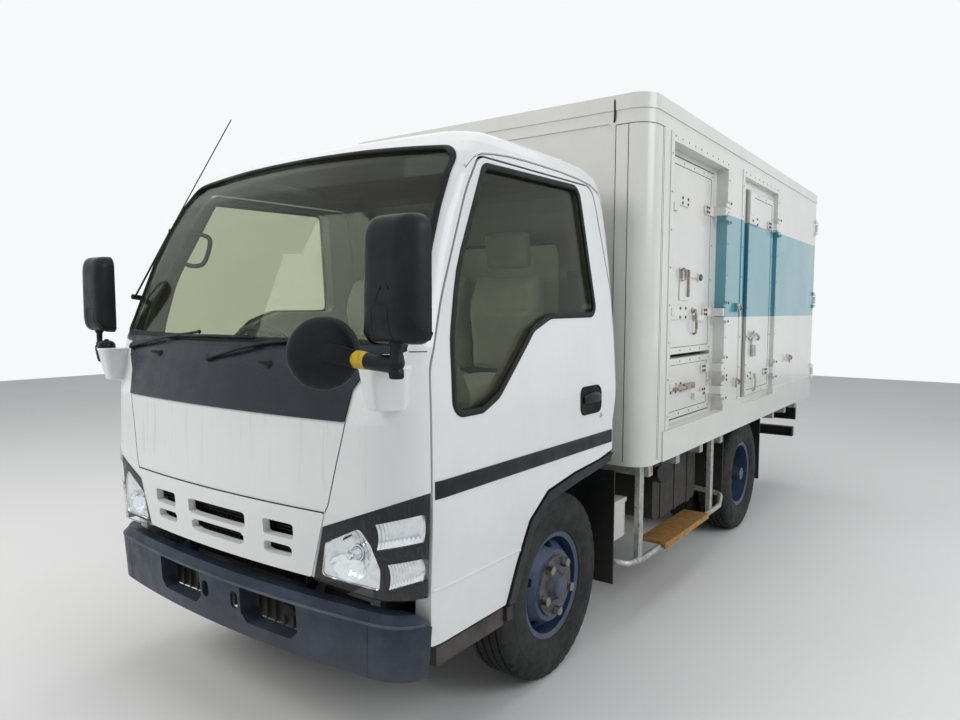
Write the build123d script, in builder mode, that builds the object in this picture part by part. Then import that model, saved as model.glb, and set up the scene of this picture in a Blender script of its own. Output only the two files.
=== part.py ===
"""Small cab-over truck with an insulated freezer body.

Millimetres. X points to the vehicle's left, Y backwards, Z up. The drawing is
dimensioned from the front axle (Y = 0) and the ground (Z = 0); save() shifts
every piece so that the origin is at the middle of the footprint.
"""
from math import cos, hypot, radians, sin
import os

from build123d import *

os.makedirs("parts", exist_ok=True)

# Driving dimensions
WHEELBASE = 2493.0
MID_LENGTH = 1406.8
TYRE_R = 375.6
TYRE_W = 205.0
RIM_FLANGE_R = 222.0
BEAD_R = 203.0
FRONT_TRACK_HALF = 697.5
REAR_OUTER_X = 730.5
REAR_INNER_X = 498.0
KINGPIN_X = 600.0

RAIL_X0, RAIL_X1 = 285.0, 350.0
RAIL_Z0, RAIL_Z1 = 470.0, 620.0
RAIL_FRONT, RAIL_REAR = -905.0, 3990.0
CROSS_MEMBERS = [400, 1100, 1850, 3000, 3915]

CAB_HALF = 847.5
CAB_REAR = 458.0
CAB_WALL = 58.0
FLOOR_Z0, FLOOR_Z1 = 800.0, 838.0
FRONT_FOOT_Z = 640.0
TILT_Y, TILT_Z = -880.0, 520.0
DOOR_GAP = 7.0

BOX_HALF = 930.0
BOX_FRONT, BOX_REAR = 551.0, 4077.0
BOX_Z0, BOX_Z1 = 771.0, 2453.0
WALL = 120.0
FLOOR_T = 110.0
ROOF_T = 90.0
POST = 140.0
REAR_HINGE_X, REAR_HINGE_Y = 935.0, 4100.0


def save(part, name):
    """Label a finished piece and write it in the row's frame."""
    part.label = name
    shifted = part.moved(Location((0, -MID_LENGTH, 0)))
    shifted.label = name
    export_step(shifted, f"parts/{name}.step")


def block(x, y, z, mode=Mode.ADD):
    """A box between the pairs x, y and z, inside the open part."""
    with Locations(((x[0] + x[1]) / 2, (y[0] + y[1]) / 2, (z[0] + z[1]) / 2)):
        Box(x[1] - x[0], y[1] - y[0], z[1] - z[0], mode=mode)


def outline(points, radius=0.0):
    """A closed face from corner points; a third number rounds that corner."""
    radii = [p[2] if len(p) > 2 else radius for p in points]
    with BuildLine() as loop:
        FilletPolyline(*[(p[0], p[1]) for p in points], radius=radii, close=True)
    make_face(loop.edges())


def side_prism(points, x, radius=0.0, mode=Mode.ADD):
    """A (Y, Z) outline pushed from x[0] to x[1]."""
    with BuildSketch(Plane.YZ.offset(x[0])) as profile:
        outline(points, radius)
    extrude(profile.sketch, amount=x[1] - x[0], mode=mode)


def plan_prism(points, z, radius=0.0, mode=Mode.ADD):
    """An (X, Y) outline pushed from z[0] to z[1]."""
    with BuildSketch(Plane.XY.offset(z[0])) as profile:
        outline(points, radius)
    extrude(profile.sketch, amount=z[1] - z[0], mode=mode)


def front_prism(points, y, radius=0.0, mode=Mode.ADD):
    """An (X, Z) outline pushed from y[0] back to y[1]."""
    with BuildSketch(Plane.XZ.offset(-y[1])) as profile:
        outline(points, radius)
    extrude(profile.sketch, amount=y[1] - y[0], mode=mode)


def rod(start, end, radius, mode=Mode.ADD):
    """A round bar between two points."""
    axis = Vector(*end) - Vector(*start)
    with BuildSketch(Plane(origin=start, z_dir=axis)) as profile:
        Circle(radius)
    extrude(profile.sketch, amount=axis.length, mode=mode)


def tube_path(points, radii, radius, mode=Mode.ADD):
    """A round bar along straight runs with tangent arcs between them."""
    with BuildLine() as path:
        FilletPolyline(*points, radius=radii)
    with BuildSketch(Plane(origin=path.line @ 0, z_dir=path.line % 0)) as profile:
        Circle(radius)
    sweep(profile.sketch, path=path.line, mode=mode)


def mirrored(points):
    """Outline points seen in the vehicle's centre plane, in reverse order."""
    return [(-p[0], *p[1:]) for p in reversed(points)]


# Cab body: plan sections, each flat in front with a slight bow and round corners.
# (height, half width, front, rear, front corner radius, rear corner radius, how far an inset sinks it)
FRONT_BOW_R = 5000.0
CAB_SECTIONS = [
    (440, 842, -1004, 400, 175, 20, 0.0),
    (634, 844, -1006, 400, 180, 20, 0.0),
    (862, 847.5, -1022, 405, 185, 20, 0.0),
    (1000, 847, -1018, 408, 185, 20, 0.0),
    (1146, 845, -1014, 458, 180, 45, 0.0),
    (1300, 836, -985, 458, 125, 45, 0.0),
    (1376, 830.5, -955, 458, 85, 45, 0.0),
    (1678, 802, -840, 455, 80, 50, 0.0),
    (1811, 790, -775, 445, 78, 52, 0.0),
    (1927, 779, -705, 432, 75, 58, 0.0),
    (2010, 769, -640, 418, 72, 66, 0.3),
    (2052, 757, -600, 405, 85, 80, 0.45),
    (2090, 728, -555, 378, 110, 110, 0.6),
    (2122, 668, -470, 330, 140, 140, 0.75),
    (2146, 560, -330, 250, 160, 160, 0.9),
    (2160, 360, -130, 140, 110, 100, 1.0),
]


def cab_body(inset=0.0, mode=Mode.ADD):
    """The cab's outer form as one loft, or the same form drawn in by inset."""
    sections = []
    for z, half, front, rear, r_front, r_rear, sink in CAB_SECTIONS:
        half_in = half - inset
        front_in, rear_in = front + inset, rear - inset
        bow = half_in**2 / (2 * FRONT_BOW_R)
        with BuildSketch(Plane.XY.offset(z - sink * inset)) as section:
            with BuildLine() as loop:
                ThreePointArc((half_in, front_in + bow), (0, front_in), (-half_in, front_in + bow))
                Line((-half_in, front_in + bow), (-half_in, rear_in))
                Line((-half_in, rear_in), (half_in, rear_in))
                Line((half_in, rear_in), (half_in, front_in + bow))
            make_face(loop.edges())
            fillet(section.vertices().sort_by(Axis.Y)[:2], max(r_front - inset, 20))
            fillet(section.vertices().sort_by(Axis.Y)[-2:], max(r_rear - inset, 12))
        sections.append(section.sketch)
    loft(sections, ruled=True, mode=mode)


# Cab outlines in the side view (Y, Z, corner radius)
ARCH = [(-440, 456), (-378, 583), (-293, 725), (-166, 810), (47, 842), (262, 858), (395, 872)]
DOOR = [
    (-838, 456, 6), (-838, 1310, 150), (-768, 1517, 900), (-600, 1873, 600), (-512, 1996, 60), (300, 2006, 70),
    (415, 1560, 200), (415, 1100), (385, 1010), (385, 880, 12), *[(y, z, 8) for y, z in reversed(ARCH[1:-1])],
    (-440, 456, 6),
]
WINDOW = [
    (-735, 1162, 45), (-732, 1396, 300), (-678, 1611, 600), (-489, 1970, 40), (172, 1986, 45), (254, 1470, 40),
    (-120, 1466, 110), (-250, 1420, 60), (-495, 1200, 90), (-590, 1162, 40),
]
# Outlines in the front view (X, Z, corner radius)
REAR_WINDOW = [(-560, 1420, 60), (-560, 1800, 60), (560, 1800, 60), (560, 1420, 60)]
GRILLE_PANEL = [(-534, 858, 6), (534, 858, 6), (465, FRONT_FOOT_Z, 12), (-465, FRONT_FOOT_Z, 12)]
LAMP = [(471, 633, 10), (523, 812, 12), (900, 963, 10), (900, 614, 10), (740, 614, 20)]
GARNISH = [
    (-705, 1357, 10), (705, 1357, 10), (668, 1302, 30), (626, 1243, 20), (611, 1148, 6), (-611, 1148, 6),
    (-626, 1243, 20), (-668, 1302, 30),
]
# Windscreen: half width and height up the slope at foot and head, in a plane square to the slope
SCREEN_PLANE = Plane(origin=(0, -955, 1376), x_dir=(1, 0, 0), z_dir=(0, -0.8765, 0.4814))
SCREEN_FOOT = (800, 44, 8)
SCREEN_HEAD = (726, 747, 769)


def screen_cut(grow=0.0, mode=Mode.SUBTRACT):
    """The windscreen's outline, pushed square through the leaning front."""
    foot, foot_side, foot_mid = SCREEN_FOOT[0] + grow, SCREEN_FOOT[1] - grow, SCREEN_FOOT[2] - grow
    head, head_side, head_mid = SCREEN_HEAD[0] + grow, SCREEN_HEAD[1] + grow, SCREEN_HEAD[2] + grow
    with BuildSketch(SCREEN_PLANE.offset(-170)) as profile:
        with BuildLine() as loop:
            ThreePointArc((-foot, foot_side), (0, foot_mid), (foot, foot_side))
            Line((foot, foot_side), (head, head_side))
            ThreePointArc((head, head_side), (0, head_mid), (-head, head_side))
            Line((-head, head_side), (-foot, foot_side))
        make_face(loop.edges())
        fillet(profile.vertices(), 70)
    extrude(profile.sketch, amount=230, mode=mode)


def grown(points, by):
    """An outline pushed away from its middle by a fixed step."""
    centre_u = sum(p[0] for p in points) / len(points)
    centre_v = sum(p[1] for p in points) / len(points)
    moved = []
    for p in points:
        du = by if p[0] > centre_u else -by
        dv = by if p[1] > centre_v else -by
        moved.append((p[0] + du, p[1] + dv, *p[2:]))
    return moved


# Chassis: ladder frame with C-section rails
with BuildPart() as frame:
    for side in (1, -1):
        x = sorted((side * RAIL_X0, side * RAIL_X1))
        groove = sorted((side * (RAIL_X0 - 1), side * (RAIL_X1 - 8)))
        block(x, (RAIL_FRONT, RAIL_REAR), (RAIL_Z0, RAIL_Z1))
        block(groove, (RAIL_FRONT - 1, RAIL_REAR + 1), (RAIL_Z0 + 8, RAIL_Z1 - 8), Mode.SUBTRACT)
    for y in CROSS_MEMBERS:
        block((-RAIL_X1 + 8, RAIL_X1 - 8), (y, y + 60), (RAIL_Z0 + 90, RAIL_Z1 - 8))
    block((-RAIL_X1 + 8, RAIL_X1 - 8), (RAIL_FRONT, RAIL_FRONT + 50), (RAIL_Z0 + 10, RAIL_Z1 - 60))
    rod((-425, TILT_Y, TILT_Z), (425, TILT_Y, TILT_Z), 22)
    # Wood sills that carry the freezer body
    for side in (1, -1):
        x = sorted((side * RAIL_X0, side * RAIL_X1))
        block(x, (620, 3990), (RAIL_Z1, 700))
save(frame.part, "chassis_frame")

with BuildPart() as engine:
    side_prism([(-560, 420), (-560, 700), (-500, 785), (180, 785), (260, 700), (260, 470), (160, 400), (-480, 400)],
               (-250, 250), radius=18)
    block((-120, 120), (259, 372), (430, 600))
save(engine.part, "engine_block")


def leaf_spring(x_mid, y_mid, seat_z, eye_z, half_span, mode=Mode.ADD):
    """A bowed leaf pack with its two eyes and hanger brackets."""
    rise = eye_z - seat_z
    thick = 44.0
    with BuildSketch(Plane.YZ.offset(x_mid - 30)) as profile:
        with BuildLine() as loop:
            ThreePointArc((y_mid - half_span, eye_z), (y_mid, seat_z), (y_mid + half_span, eye_z))
            Line((y_mid + half_span, eye_z), (y_mid + half_span, eye_z - 12))
            Line((y_mid + half_span, eye_z - 12), (y_mid + half_span * 0.45, eye_z - rise * 0.8 - 22))
            Line((y_mid + half_span * 0.45, eye_z - rise * 0.8 - 22), (y_mid + 90, seat_z - thick))
            Line((y_mid + 90, seat_z - thick), (y_mid - 90, seat_z - thick))
            Line((y_mid - 90, seat_z - thick), (y_mid - half_span * 0.45, eye_z - rise * 0.8 - 22))
            Line((y_mid - half_span * 0.45, eye_z - rise * 0.8 - 22), (y_mid - half_span, eye_z - 12))
            Line((y_mid - half_span, eye_z - 12), (y_mid - half_span, eye_z))
        make_face(loop.edges())
    extrude(profile.sketch, amount=60, mode=mode)
    for end in (-1, 1):
        y = y_mid + end * (half_span - 6)
        block((x_mid - 34, x_mid + 34), (y - 16, y + 16), (eye_z - 22, RAIL_Z0), mode)


AXLE_Z = TYRE_R
with BuildPart() as front_axle:
    BEAM = [(-560, 352), (-430, 300), (430, 300), (560, 352), (560, 398), (430, 362), (-430, 362), (-560, 398)]
    front_prism(BEAM, (-30, 30), radius=6)
    for side in (1, -1):
        rod((side * KINGPIN_X, 0, AXLE_Z - 36), (side * KINGPIN_X, 0, AXLE_Z + 36), 29)
        block(sorted((side * 545, side * 590)), (-24, 24), (AXLE_Z - 30, AXLE_Z + 26))
    for side in (1, -1):
        rod((side * KINGPIN_X, 0, AXLE_Z - 60), (side * KINGPIN_X, 0, AXLE_Z + 60), 14.05, Mode.SUBTRACT)
    for side in (1, -1):
        leaf_spring(side * 322, 0, 405, 450, 560)
save(front_axle.part, "front_axle")

with BuildPart() as rear_axle:
    rod((-545, WHEELBASE, AXLE_Z), (545, WHEELBASE, AXLE_Z), 48)
    with Locations((0, WHEELBASE, AXLE_Z)):
        Sphere(135)
    rod((0, WHEELBASE - 200, AXLE_Z + 30), (0, WHEELBASE - 100, AXLE_Z + 20), 60)
    for side in (1, -1):
        rod((side * 540, WHEELBASE, AXLE_Z), (side * 800, WHEELBASE, AXLE_Z), 30)
        leaf_spring(side * 322, WHEELBASE, 440, 462, 600)
save(rear_axle.part, "rear_axle")

with BuildPart() as prop_shaft:
    rod((0, 372, 500), (0, 392, 500), 50)
    rod((0, 384, 499.5), (0, 2290, 407), 36)
save(prop_shaft.part, "prop_shaft")

# Wheels: outlines as (distance outboard of the wheel's centre plane, radius)
TYRE = [(-70, BEAD_R), (-TYRE_W / 2, 286), (-80, TYRE_R), (80, TYRE_R), (TYRE_W / 2, 286), (70, BEAD_R)]
RIM_BARREL = [(-84, RIM_FLANGE_R), (-72, BEAD_R - 1), (72, BEAD_R - 1), (84, RIM_FLANGE_R), (76, 194), (-76, 194)]
FRONT_DISC = [(12, 195), (84, 142), (84, 58), (74, 58), (74, 137), (0, 192)]
FRONT_HUB = [
    (60, 30.1), (60, 60), (83, 60), (83, 124), (93, 120), (93, 60), (122, 44), (126, 28), (126, 0), (112, 0),
    (112, 30.1),
]
STUD_CIRCLE_R = 101.6


def ring(points, x_mid, out, centre_y, mode=Mode.ADD):
    """Revolve an (outboard distance, radius) outline about the wheel's axle."""
    plane = Plane(origin=(x_mid, centre_y, AXLE_Z), x_dir=(out, 0, 0), z_dir=(0, -out, 0))
    with BuildSketch(plane) as profile:
        with BuildLine() as loop:
            Polyline(*points, close=True)
        make_face(loop.edges())
    revolve(profile.sketch, axis=Axis((x_mid, centre_y, AXLE_Z), (1, 0, 0)), mode=mode)


def hand_holes(x_mid, out, centre_y, radius=168, count=5):
    """Oval hand holes through the disc's cone."""
    plane = Plane(origin=(x_mid, centre_y, AXLE_Z), x_dir=(0, 1, 0), z_dir=(out, 0, 0))
    with BuildSketch(plane) as profile:
        with PolarLocations(radius, count, start_angle=18):
            SlotOverall(44, 30, rotation=90)
    extrude(profile.sketch, amount=120, both=True, mode=Mode.SUBTRACT)


def wheel_nuts(x_face, out, centre_y, height):
    """Five capped nuts on the stud circle."""
    plane = Plane(origin=(x_face, centre_y, AXLE_Z), x_dir=(0, 1, 0), z_dir=(out, 0, 0))
    with BuildSketch(plane) as profile:
        with PolarLocations(STUD_CIRCLE_R, 5, start_angle=54):
            RegularPolygon(19, 6)
    extrude(profile.sketch, amount=height)


for side, name in ((1, "left"), (-1, "right")):
    x_wheel = side * FRONT_TRACK_HALF
    with BuildPart() as front_tyre:
        ring(TYRE, x_wheel, side, 0)
    save(front_tyre.part, f"tyre_front_{name}")

    with BuildPart() as front_rim:
        ring(RIM_BARREL, x_wheel, side, 0)
        ring(FRONT_DISC, x_wheel, side, 0)
        hand_holes(x_wheel, side, 0)
        ring(FRONT_HUB, x_wheel, side, 0)
        wheel_nuts(x_wheel + side * 92, side, 0, 26)
    save(front_rim.part, f"wheel_front_{name}")

    with BuildPart() as knuckle:
        for ear in (-1, 1):
            z0 = AXLE_Z + ear * 38
            z1 = AXLE_Z + ear * 62
            rod((side * KINGPIN_X, 0, z0), (side * KINGPIN_X, 0, z1), 30)
            block(sorted((side * KINGPIN_X, side * 652)), (-26, 26), sorted((z0, z1)))
        block(sorted((side * 634, side * 652)), (-34, 34), (AXLE_Z - 70, AXLE_Z + 70))
        rod((side * KINGPIN_X, 0, AXLE_Z - 70), (side * KINGPIN_X, 0, AXLE_Z + 70), 14)
        rod((side * 652, 0, AXLE_Z), (side * 664, 0, AXLE_Z), 158)
        rod((side * 664, 0, AXLE_Z), (side * 690, 0, AXLE_Z), 150)
        rod((side * 690, 0, AXLE_Z), (side * 800, 0, AXLE_Z), 30)
        # Steering arm, reaching back to the tie rod
        rod((side * 645, 20, AXLE_Z - 62), (side * KINGPIN_X, 140, AXLE_Z - 62), 13)
        rod((side * KINGPIN_X, 140, AXLE_Z - 78), (side * KINGPIN_X, 140, AXLE_Z - 49), 18)
        rod((side * KINGPIN_X, 140, AXLE_Z - 112), (side * KINGPIN_X, 140, AXLE_Z - 49), 9)
    save(knuckle.part, f"knuckle_{name}")

    with BuildPart() as rear_tyres:
        for x_mid in (REAR_OUTER_X, REAR_INNER_X):
            ring(TYRE, side * x_mid, side, WHEELBASE)
    save(rear_tyres.part, f"tyres_rear_{name}")

    with BuildPart() as rear_rims:
        mid = side * (REAR_OUTER_X + REAR_INNER_X) / 2
        gap = (REAR_OUTER_X - REAR_INNER_X) / 2
        ring(RIM_BARREL, side * REAR_OUTER_X, side, WHEELBASE)
        ring(RIM_BARREL, side * REAR_INNER_X, side, WHEELBASE)
        # The outer disc is dished in and meets the inner one at the hub's flange
        outer = [(gap - 18, 195), (10, 138), (10, 58), (0, 58), (0, 146), (gap - 30, 195)]
        inner = [(-x, r) for x, r in outer]
        ring(outer, mid, side, WHEELBASE)
        ring(inner, mid, side, WHEELBASE)
        hand_holes(mid, side, WHEELBASE)
        hub_end = 800 - abs(mid) + 22
        ring([(-60, 30.1), (hub_end - 14, 30.1), (hub_end - 14, 0), (hub_end, 0), (hub_end, 40), (60, 62),
              (-60, 62)], mid, side, WHEELBASE)
        wheel_nuts(mid + side * 9, side, WHEELBASE, 34)
    save(rear_rims.part, f"wheels_rear_{name}")

with BuildPart() as tie_rod:
    z_rod = AXLE_Z - 95
    rod((-KINGPIN_X, 140, z_rod), (KINGPIN_X, 140, z_rod), 12)
    for side in (1, -1):
        rod((side * KINGPIN_X, 140, z_rod - 15), (side * KINGPIN_X, 140, z_rod + 15), 20)
    for side in (1, -1):
        rod((side * KINGPIN_X, 140, z_rod - 30), (side * KINGPIN_X, 140, z_rod + 30), 9.1, Mode.SUBTRACT)
save(tie_rod.part, "tie_rod")

# Fuel tank, battery box and side step
with BuildPart() as fuel_tank:
    side_prism([(1000, 396), (1640, 396), (1640, 690), (1000, 690)], (440, 790), radius=45)
    for y in (1120, 1320, 1520):
        side_prism([(y - 20, 391), (y + 20, 391), (y + 20, 695), (y - 20, 695)], (436, 794))
    for y in (1120, 1520):
        block((RAIL_X1, 437), (y - 25, y + 25), (500, 600))
    rod((760, 1040, 620), (838, 965, 655), 30)
    rod((834, 962, 656), (862, 954, 664), 42)
save(fuel_tank.part, "fuel_tank")

with BuildPart() as battery_box:
    block((520, 800), (495, 640), (420, 600))
    block((RAIL_X1, 521), (520, 600), (500, 560))
    block((512, 806), (488, 646), (585, 606))
save(battery_box.part, "battery_box")

STEP_X = 872.0
with BuildPart() as side_step:
    for y in (660, 1690):
        block((STEP_X - 22, STEP_X + 2), (y - 24, y + 24), (300, BOX_Z0))
    tube_path([(600, 475, 372), (STEP_X, 500, 330), (STEP_X, 700, 305), (STEP_X, 1850, 305), (STEP_X - 30, 1978, 345),
               (600, 1978, 372)], [60, 60, 60, 40], 15)
save(side_step.part, "side_step")

with BuildPart() as step_tread:
    side_prism([(900, 320), (1560, 320), (1560, 330), (900, 330)], (760, 905))
    side_prism([(900, 300), (1560, 300), (1560, 321), (900, 321)], (895, 905))
save(step_tread.part, "step_tread")

# Mudguards behind the front wheels and around the rear ones
with BuildPart() as mudguards:
    for side in (1, -1):
        x = sorted((side * 560, side * 835))
        block(x, (442, 450), (250, 770))
        block(sorted((side * RAIL_X1, side * 561)), (442, 450), (480, 600))
        wide = sorted((side * 385, side * 838))
        block(wide, (2012, 2020), (330, BOX_Z0))
        block(wide, (2872, 2880), (270, BOX_Z0))
save(mudguards.part, "mudguards")

PLATE_HOLES = 210.0
PLATE_HOLE_R = 3.5
with BuildPart() as rear_bumper:
    block((-820, 820), (3990, 4050), (420, 500))
    block((-812, 812), (3980, 4044), (427, 493), Mode.SUBTRACT)
    for side in (1, -1):
        block(sorted((side * RAIL_X0, side * RAIL_X1)), (RAIL_REAR, 4030), (499, 600))
        block(sorted((side * 440, side * 500)), (3991, 4040), (499, BOX_Z0))
        rod((side * PLATE_HOLES / 2, 4030, 460), (side * PLATE_HOLES / 2, 4060, 460), PLATE_HOLE_R, Mode.SUBTRACT)
save(rear_bumper.part, "rear_bumper")

with BuildPart() as exhaust:
    tube_path([(-200, 262, 440), (-200, 720, 430), (-470, 900, 430), (-470, 1060, 430)], [80, 80], 24)
    rod((-470, 1050, 430), (-470, 1650, 430), 95)
    tube_path([(-470, 1640, 430), (-470, 1850, 430), (-790, 1900, 400)], [80], 22)
    for y in (1100, 1540):
        block((-480, -RAIL_X1), (y, y + 30), (514, 534))
save(exhaust.part, "exhaust")

with BuildPart() as rear_lamps:
    for side in (1, -1):
        block(sorted((side * 520, side * 830)), (4040, 4076), (560, 690))
        block(sorted((side * 560, side * 780)), (4020, 4041), (600, 650))
        block(sorted((side * 500, side * 570)), (4010, 4030), (590, 660))
save(rear_lamps.part, "rear_lamps")

# Front bumper: bowed in plan with round ends, rounded top, two deep openings and an oval pair
BUMPER_Z0, BUMPER_Z1 = 362.0, 567.0
BUMPER_REAR = -846.0


def bumper_plan(half, front, corner_r, rear, z):
    """A plan section of the bumper: bowed front, round corners, flat back."""
    bow = half**2 / (2 * FRONT_BOW_R)
    with BuildSketch(Plane.XY.offset(z)) as plan:
        with BuildLine() as loop:
            ThreePointArc((half, front + bow), (0, front), (-half, front + bow))
            Line((-half, front + bow), (-half, rear))
            Line((-half, rear), (half, rear))
            Line((half, rear), (half, front + bow))
        make_face(loop.edges())
        fillet(plan.vertices().sort_by(Axis.Y)[:2], corner_r)
    return plan.sketch


BUMPER_OPENING = [(118, 532, 12), (396, 532, 12), (396, 440, 12), (366, 410, 14), (150, 410, 14), (118, 440, 12)]


def bumper_form(inset=0.0, top=BUMPER_Z1, mode=Mode.ADD):
    """The bumper's outer form, or the same form drawn in by inset."""
    loft([bumper_plan(836 - inset, -1002 + inset, 150 - inset, -700, BUMPER_Z0 - (inset > 0)),
          bumper_plan(850 - inset, -1012 + inset, 155 - inset, -700, 535 - inset / 2),
          bumper_plan(832 - inset, -990 + inset, 140 - inset, -700, top)], ruled=True, mode=mode)


# A short duct behind each opening, cut to the bumper's outer form
with BuildPart() as ducts:
    bumper_form()
    with BuildSketch(Plane.XZ.offset(936)) as duct_outline:
        outline(grown(BUMPER_OPENING, 8))
        outline(mirrored(grown(BUMPER_OPENING, 8)))
    extrude(duct_outline.sketch, amount=200, mode=Mode.INTERSECT)

with BuildPart() as bumper:
    bumper_form()
    bumper_form(10, BUMPER_Z1 - 10, Mode.SUBTRACT)
    extrude(bumper_plan(790, -948, 100, -600, BUMPER_Z1 - 40), amount=60, mode=Mode.SUBTRACT)
    block((-900, 900), (BUMPER_REAR, -500), (300, 700), Mode.SUBTRACT)
    # The ends' upper rear corners are cut back where the doors swing down with the tilting cab
    for x in ((744, 900), (-900, -744)):
        side_prism([(-850, 528), (-881, 572), (-800, 572), (-800, 528)], x, mode=Mode.SUBTRACT)
    add(ducts.part)
    front_prism(BUMPER_OPENING, (-1100, -880), mode=Mode.SUBTRACT)
    front_prism(mirrored(BUMPER_OPENING), (-1100, -880), mode=Mode.SUBTRACT)
    with BuildSketch(Plane.XZ.offset(800)):
        with GridLocations(170, 1, 2, 1):
            with Locations((0, 478)):
                SlotOverall(62, 40, rotation=90)
    extrude(amount=300, mode=Mode.SUBTRACT)
    for side in (1, -1):
        block(sorted((side * RAIL_X0, side * RAIL_X1)), (-965, RAIL_FRONT), (545, 567))
        rod((side * PLATE_HOLES / 2, -1100, 530), (side * PLATE_HOLES / 2, -950, 530), PLATE_HOLE_R, Mode.SUBTRACT)
save(bumper.part, "front_bumper")

# Cab
with BuildPart() as cab_shell:
    cab_body()
    cab_body(CAB_WALL, mode=Mode.SUBTRACT)
    for x in ((789.2, 900), (-900, -789.2)):
        block(x, (-838, 420), (300, 882), Mode.SUBTRACT)
    # Open below the floor: only the front skin reaches down to the bumper
    block((-900, 900), (-838, 700), (300, FLOOR_Z0), Mode.SUBTRACT)
    block((-900, 900), (-1200, -838), (300, FRONT_FOOT_Z), Mode.SUBTRACT)
    block((-700, 700), (-975, -800), (300, FLOOR_Z0), Mode.SUBTRACT)
    screen_cut()
    front_prism(REAR_WINDOW, (300, 600), mode=Mode.SUBTRACT)
    side_prism(grown(DOOR, DOOR_GAP), (600, 900), mode=Mode.SUBTRACT)
    side_prism(grown(DOOR, DOOR_GAP), (-900, -600), mode=Mode.SUBTRACT)
    front_prism(grown(GRILLE_PANEL, 1), (-1200, -900), mode=Mode.SUBTRACT)
    front_prism(grown(LAMP, 1), (-1200, -845), mode=Mode.SUBTRACT)
    front_prism(mirrored(grown(LAMP, 1)), (-1200, -845), mode=Mode.SUBTRACT)

SPLIT_Z = 1362.0
with BuildPart() as cab_front:
    add(cab_shell.part)
    block((-900, 900), (-838 - DOOR_GAP, 700), (300, 2200), Mode.SUBTRACT)
    block((-900, 900), (-1200, 700), (SPLIT_Z, 2200), Mode.SUBTRACT)
save(cab_front.part, "cab_front")

with BuildPart() as cab_upper:
    add(cab_shell.part)
    block((-900, 900), (-1200, -838 - DOOR_GAP), (300, SPLIT_Z), Mode.SUBTRACT)
save(cab_upper.part, "cab_upper")

with BuildPart() as cab_floor:
    cab_body(CAB_WALL + 0.2)
    block((-900, 900), (-1200, 700), (300, FLOOR_Z0), Mode.SUBTRACT)
    block((-900, 900), (-1200, 700), (FLOOR_Z1, 2300), Mode.SUBTRACT)
    block((-640, 640), (-330, 330), (FLOOR_Z1, 1060))
    STEP_SECTION = [(600, 801), (600, 385), (836, 385), (836, 446), (772, 446), (772, 468), (624, 468), (624, 801)]
    front_prism(STEP_SECTION, (-815, -446))
    front_prism(mirrored(STEP_SECTION), (-815, -446))
    # Room beside the doors, and where each door's inner front corner swings in
    for side in (1, -1):
        block(sorted((side * 783.5, side * 900)), (-846, 425), (447, 900), Mode.SUBTRACT)
        block(sorted((side * 754, side * 900)), (-846, -744), (447, 900), Mode.SUBTRACT)
    for side in (1, -1):
        x = sorted((side * 370, side * 410))
        side_prism([(-912, 508), (-880, 486), (-848, 505), (-700, 801), (-780, 801), (-852, 600)], x, radius=8)
        rod((x[0] - 5, TILT_Y, TILT_Z), (x[1] + 5, TILT_Y, TILT_Z), 22.1, Mode.SUBTRACT)
save(cab_floor.part, "cab_floor")

with BuildPart() as garnish:
    cab_body(-6)
    cab_body(mode=Mode.SUBTRACT)
    front_prism(GARNISH, (-1200, -700), mode=Mode.INTERSECT)
save(garnish.part, "front_garnish")

GRILLE_OPENINGS = [
    # (x from, x to, z from, z to) at the panel's back
    (-160, 160, 752, 796), (-148, 148, 689, 724), (261, 395, 752, 797), (259, 384, 690, 722),
    (-395, -261, 752, 797), (-384, -259, 690, 722),
]
BEVEL = 7.0
with BuildPart() as grille:
    cab_body(-3)
    cab_body(22, mode=Mode.SUBTRACT)
    front_prism(GRILLE_PANEL, (-1200, -800), mode=Mode.INTERSECT)
    for x0, x1, z0, z1 in GRILLE_OPENINGS:
        with BuildSketch(Plane(origin=(0, -1030, 0), x_dir=(-1, 0, 0), z_dir=(0, 1, 0))) as mouth:
            with Locations((-(x0 + x1) / 2, (z0 + z1) / 2)):
                RectangleRounded(x1 - x0 + 2 * BEVEL, z1 - z0 + 2 * BEVEL, 9)
        extrude(mouth.sketch, amount=90, taper=9, mode=Mode.SUBTRACT)
save(grille.part, "grille_panel")

with BuildPart() as lamp_lenses:
    cab_body(-3)
    cab_body(4, mode=Mode.SUBTRACT)
    with BuildSketch(Plane.XZ.offset(846)):
        outline(LAMP)
        outline(mirrored(LAMP))
    extrude(amount=300, mode=Mode.INTERSECT)
save(lamp_lenses.part, "headlamp_lenses")

# Lamp cells sunk behind the lens (X, Z, corner radius)
LAMP_CELLS = [
    [(501, 651, 12), (524, 760, 14), (663, 829, 20), (701, 783, 30), (729, 707, 40), (723, 642, 14)],
    [(711, 847, 8), (832, 878, 8), (826, 790, 8), (712, 764, 8)],
    [(742, 725, 8), (830, 741, 8), (828, 672, 8), (742, 642, 8)],
]
BOWL_X, BOWL_Y, BOWL_Z, BOWL_R = 618.0, -1040.0, 735.0, 118.0
with BuildPart() as lamp_cells:
    for points in LAMP_CELLS:
        front_prism(points, (-1100, -846))
        front_prism(mirrored(points), (-1100, -846))
    cab_body(38, mode=Mode.SUBTRACT)


def bowl_pair(radius, grow):
    """Two balls kept inside the main cells' outlines: the reflectors, or their backs."""
    with BuildPart() as pair:
        for side in (1, -1):
            with Locations((side * BOWL_X, BOWL_Y, BOWL_Z)):
                Sphere(radius)
        with BuildSketch(Plane.XZ.offset(800)) as cells:
            outline(grown(LAMP_CELLS[0], grow))
            outline(mirrored(grown(LAMP_CELLS[0], grow)))
        extrude(cells.sketch, amount=300, mode=Mode.INTERSECT)
    return pair.part


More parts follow.
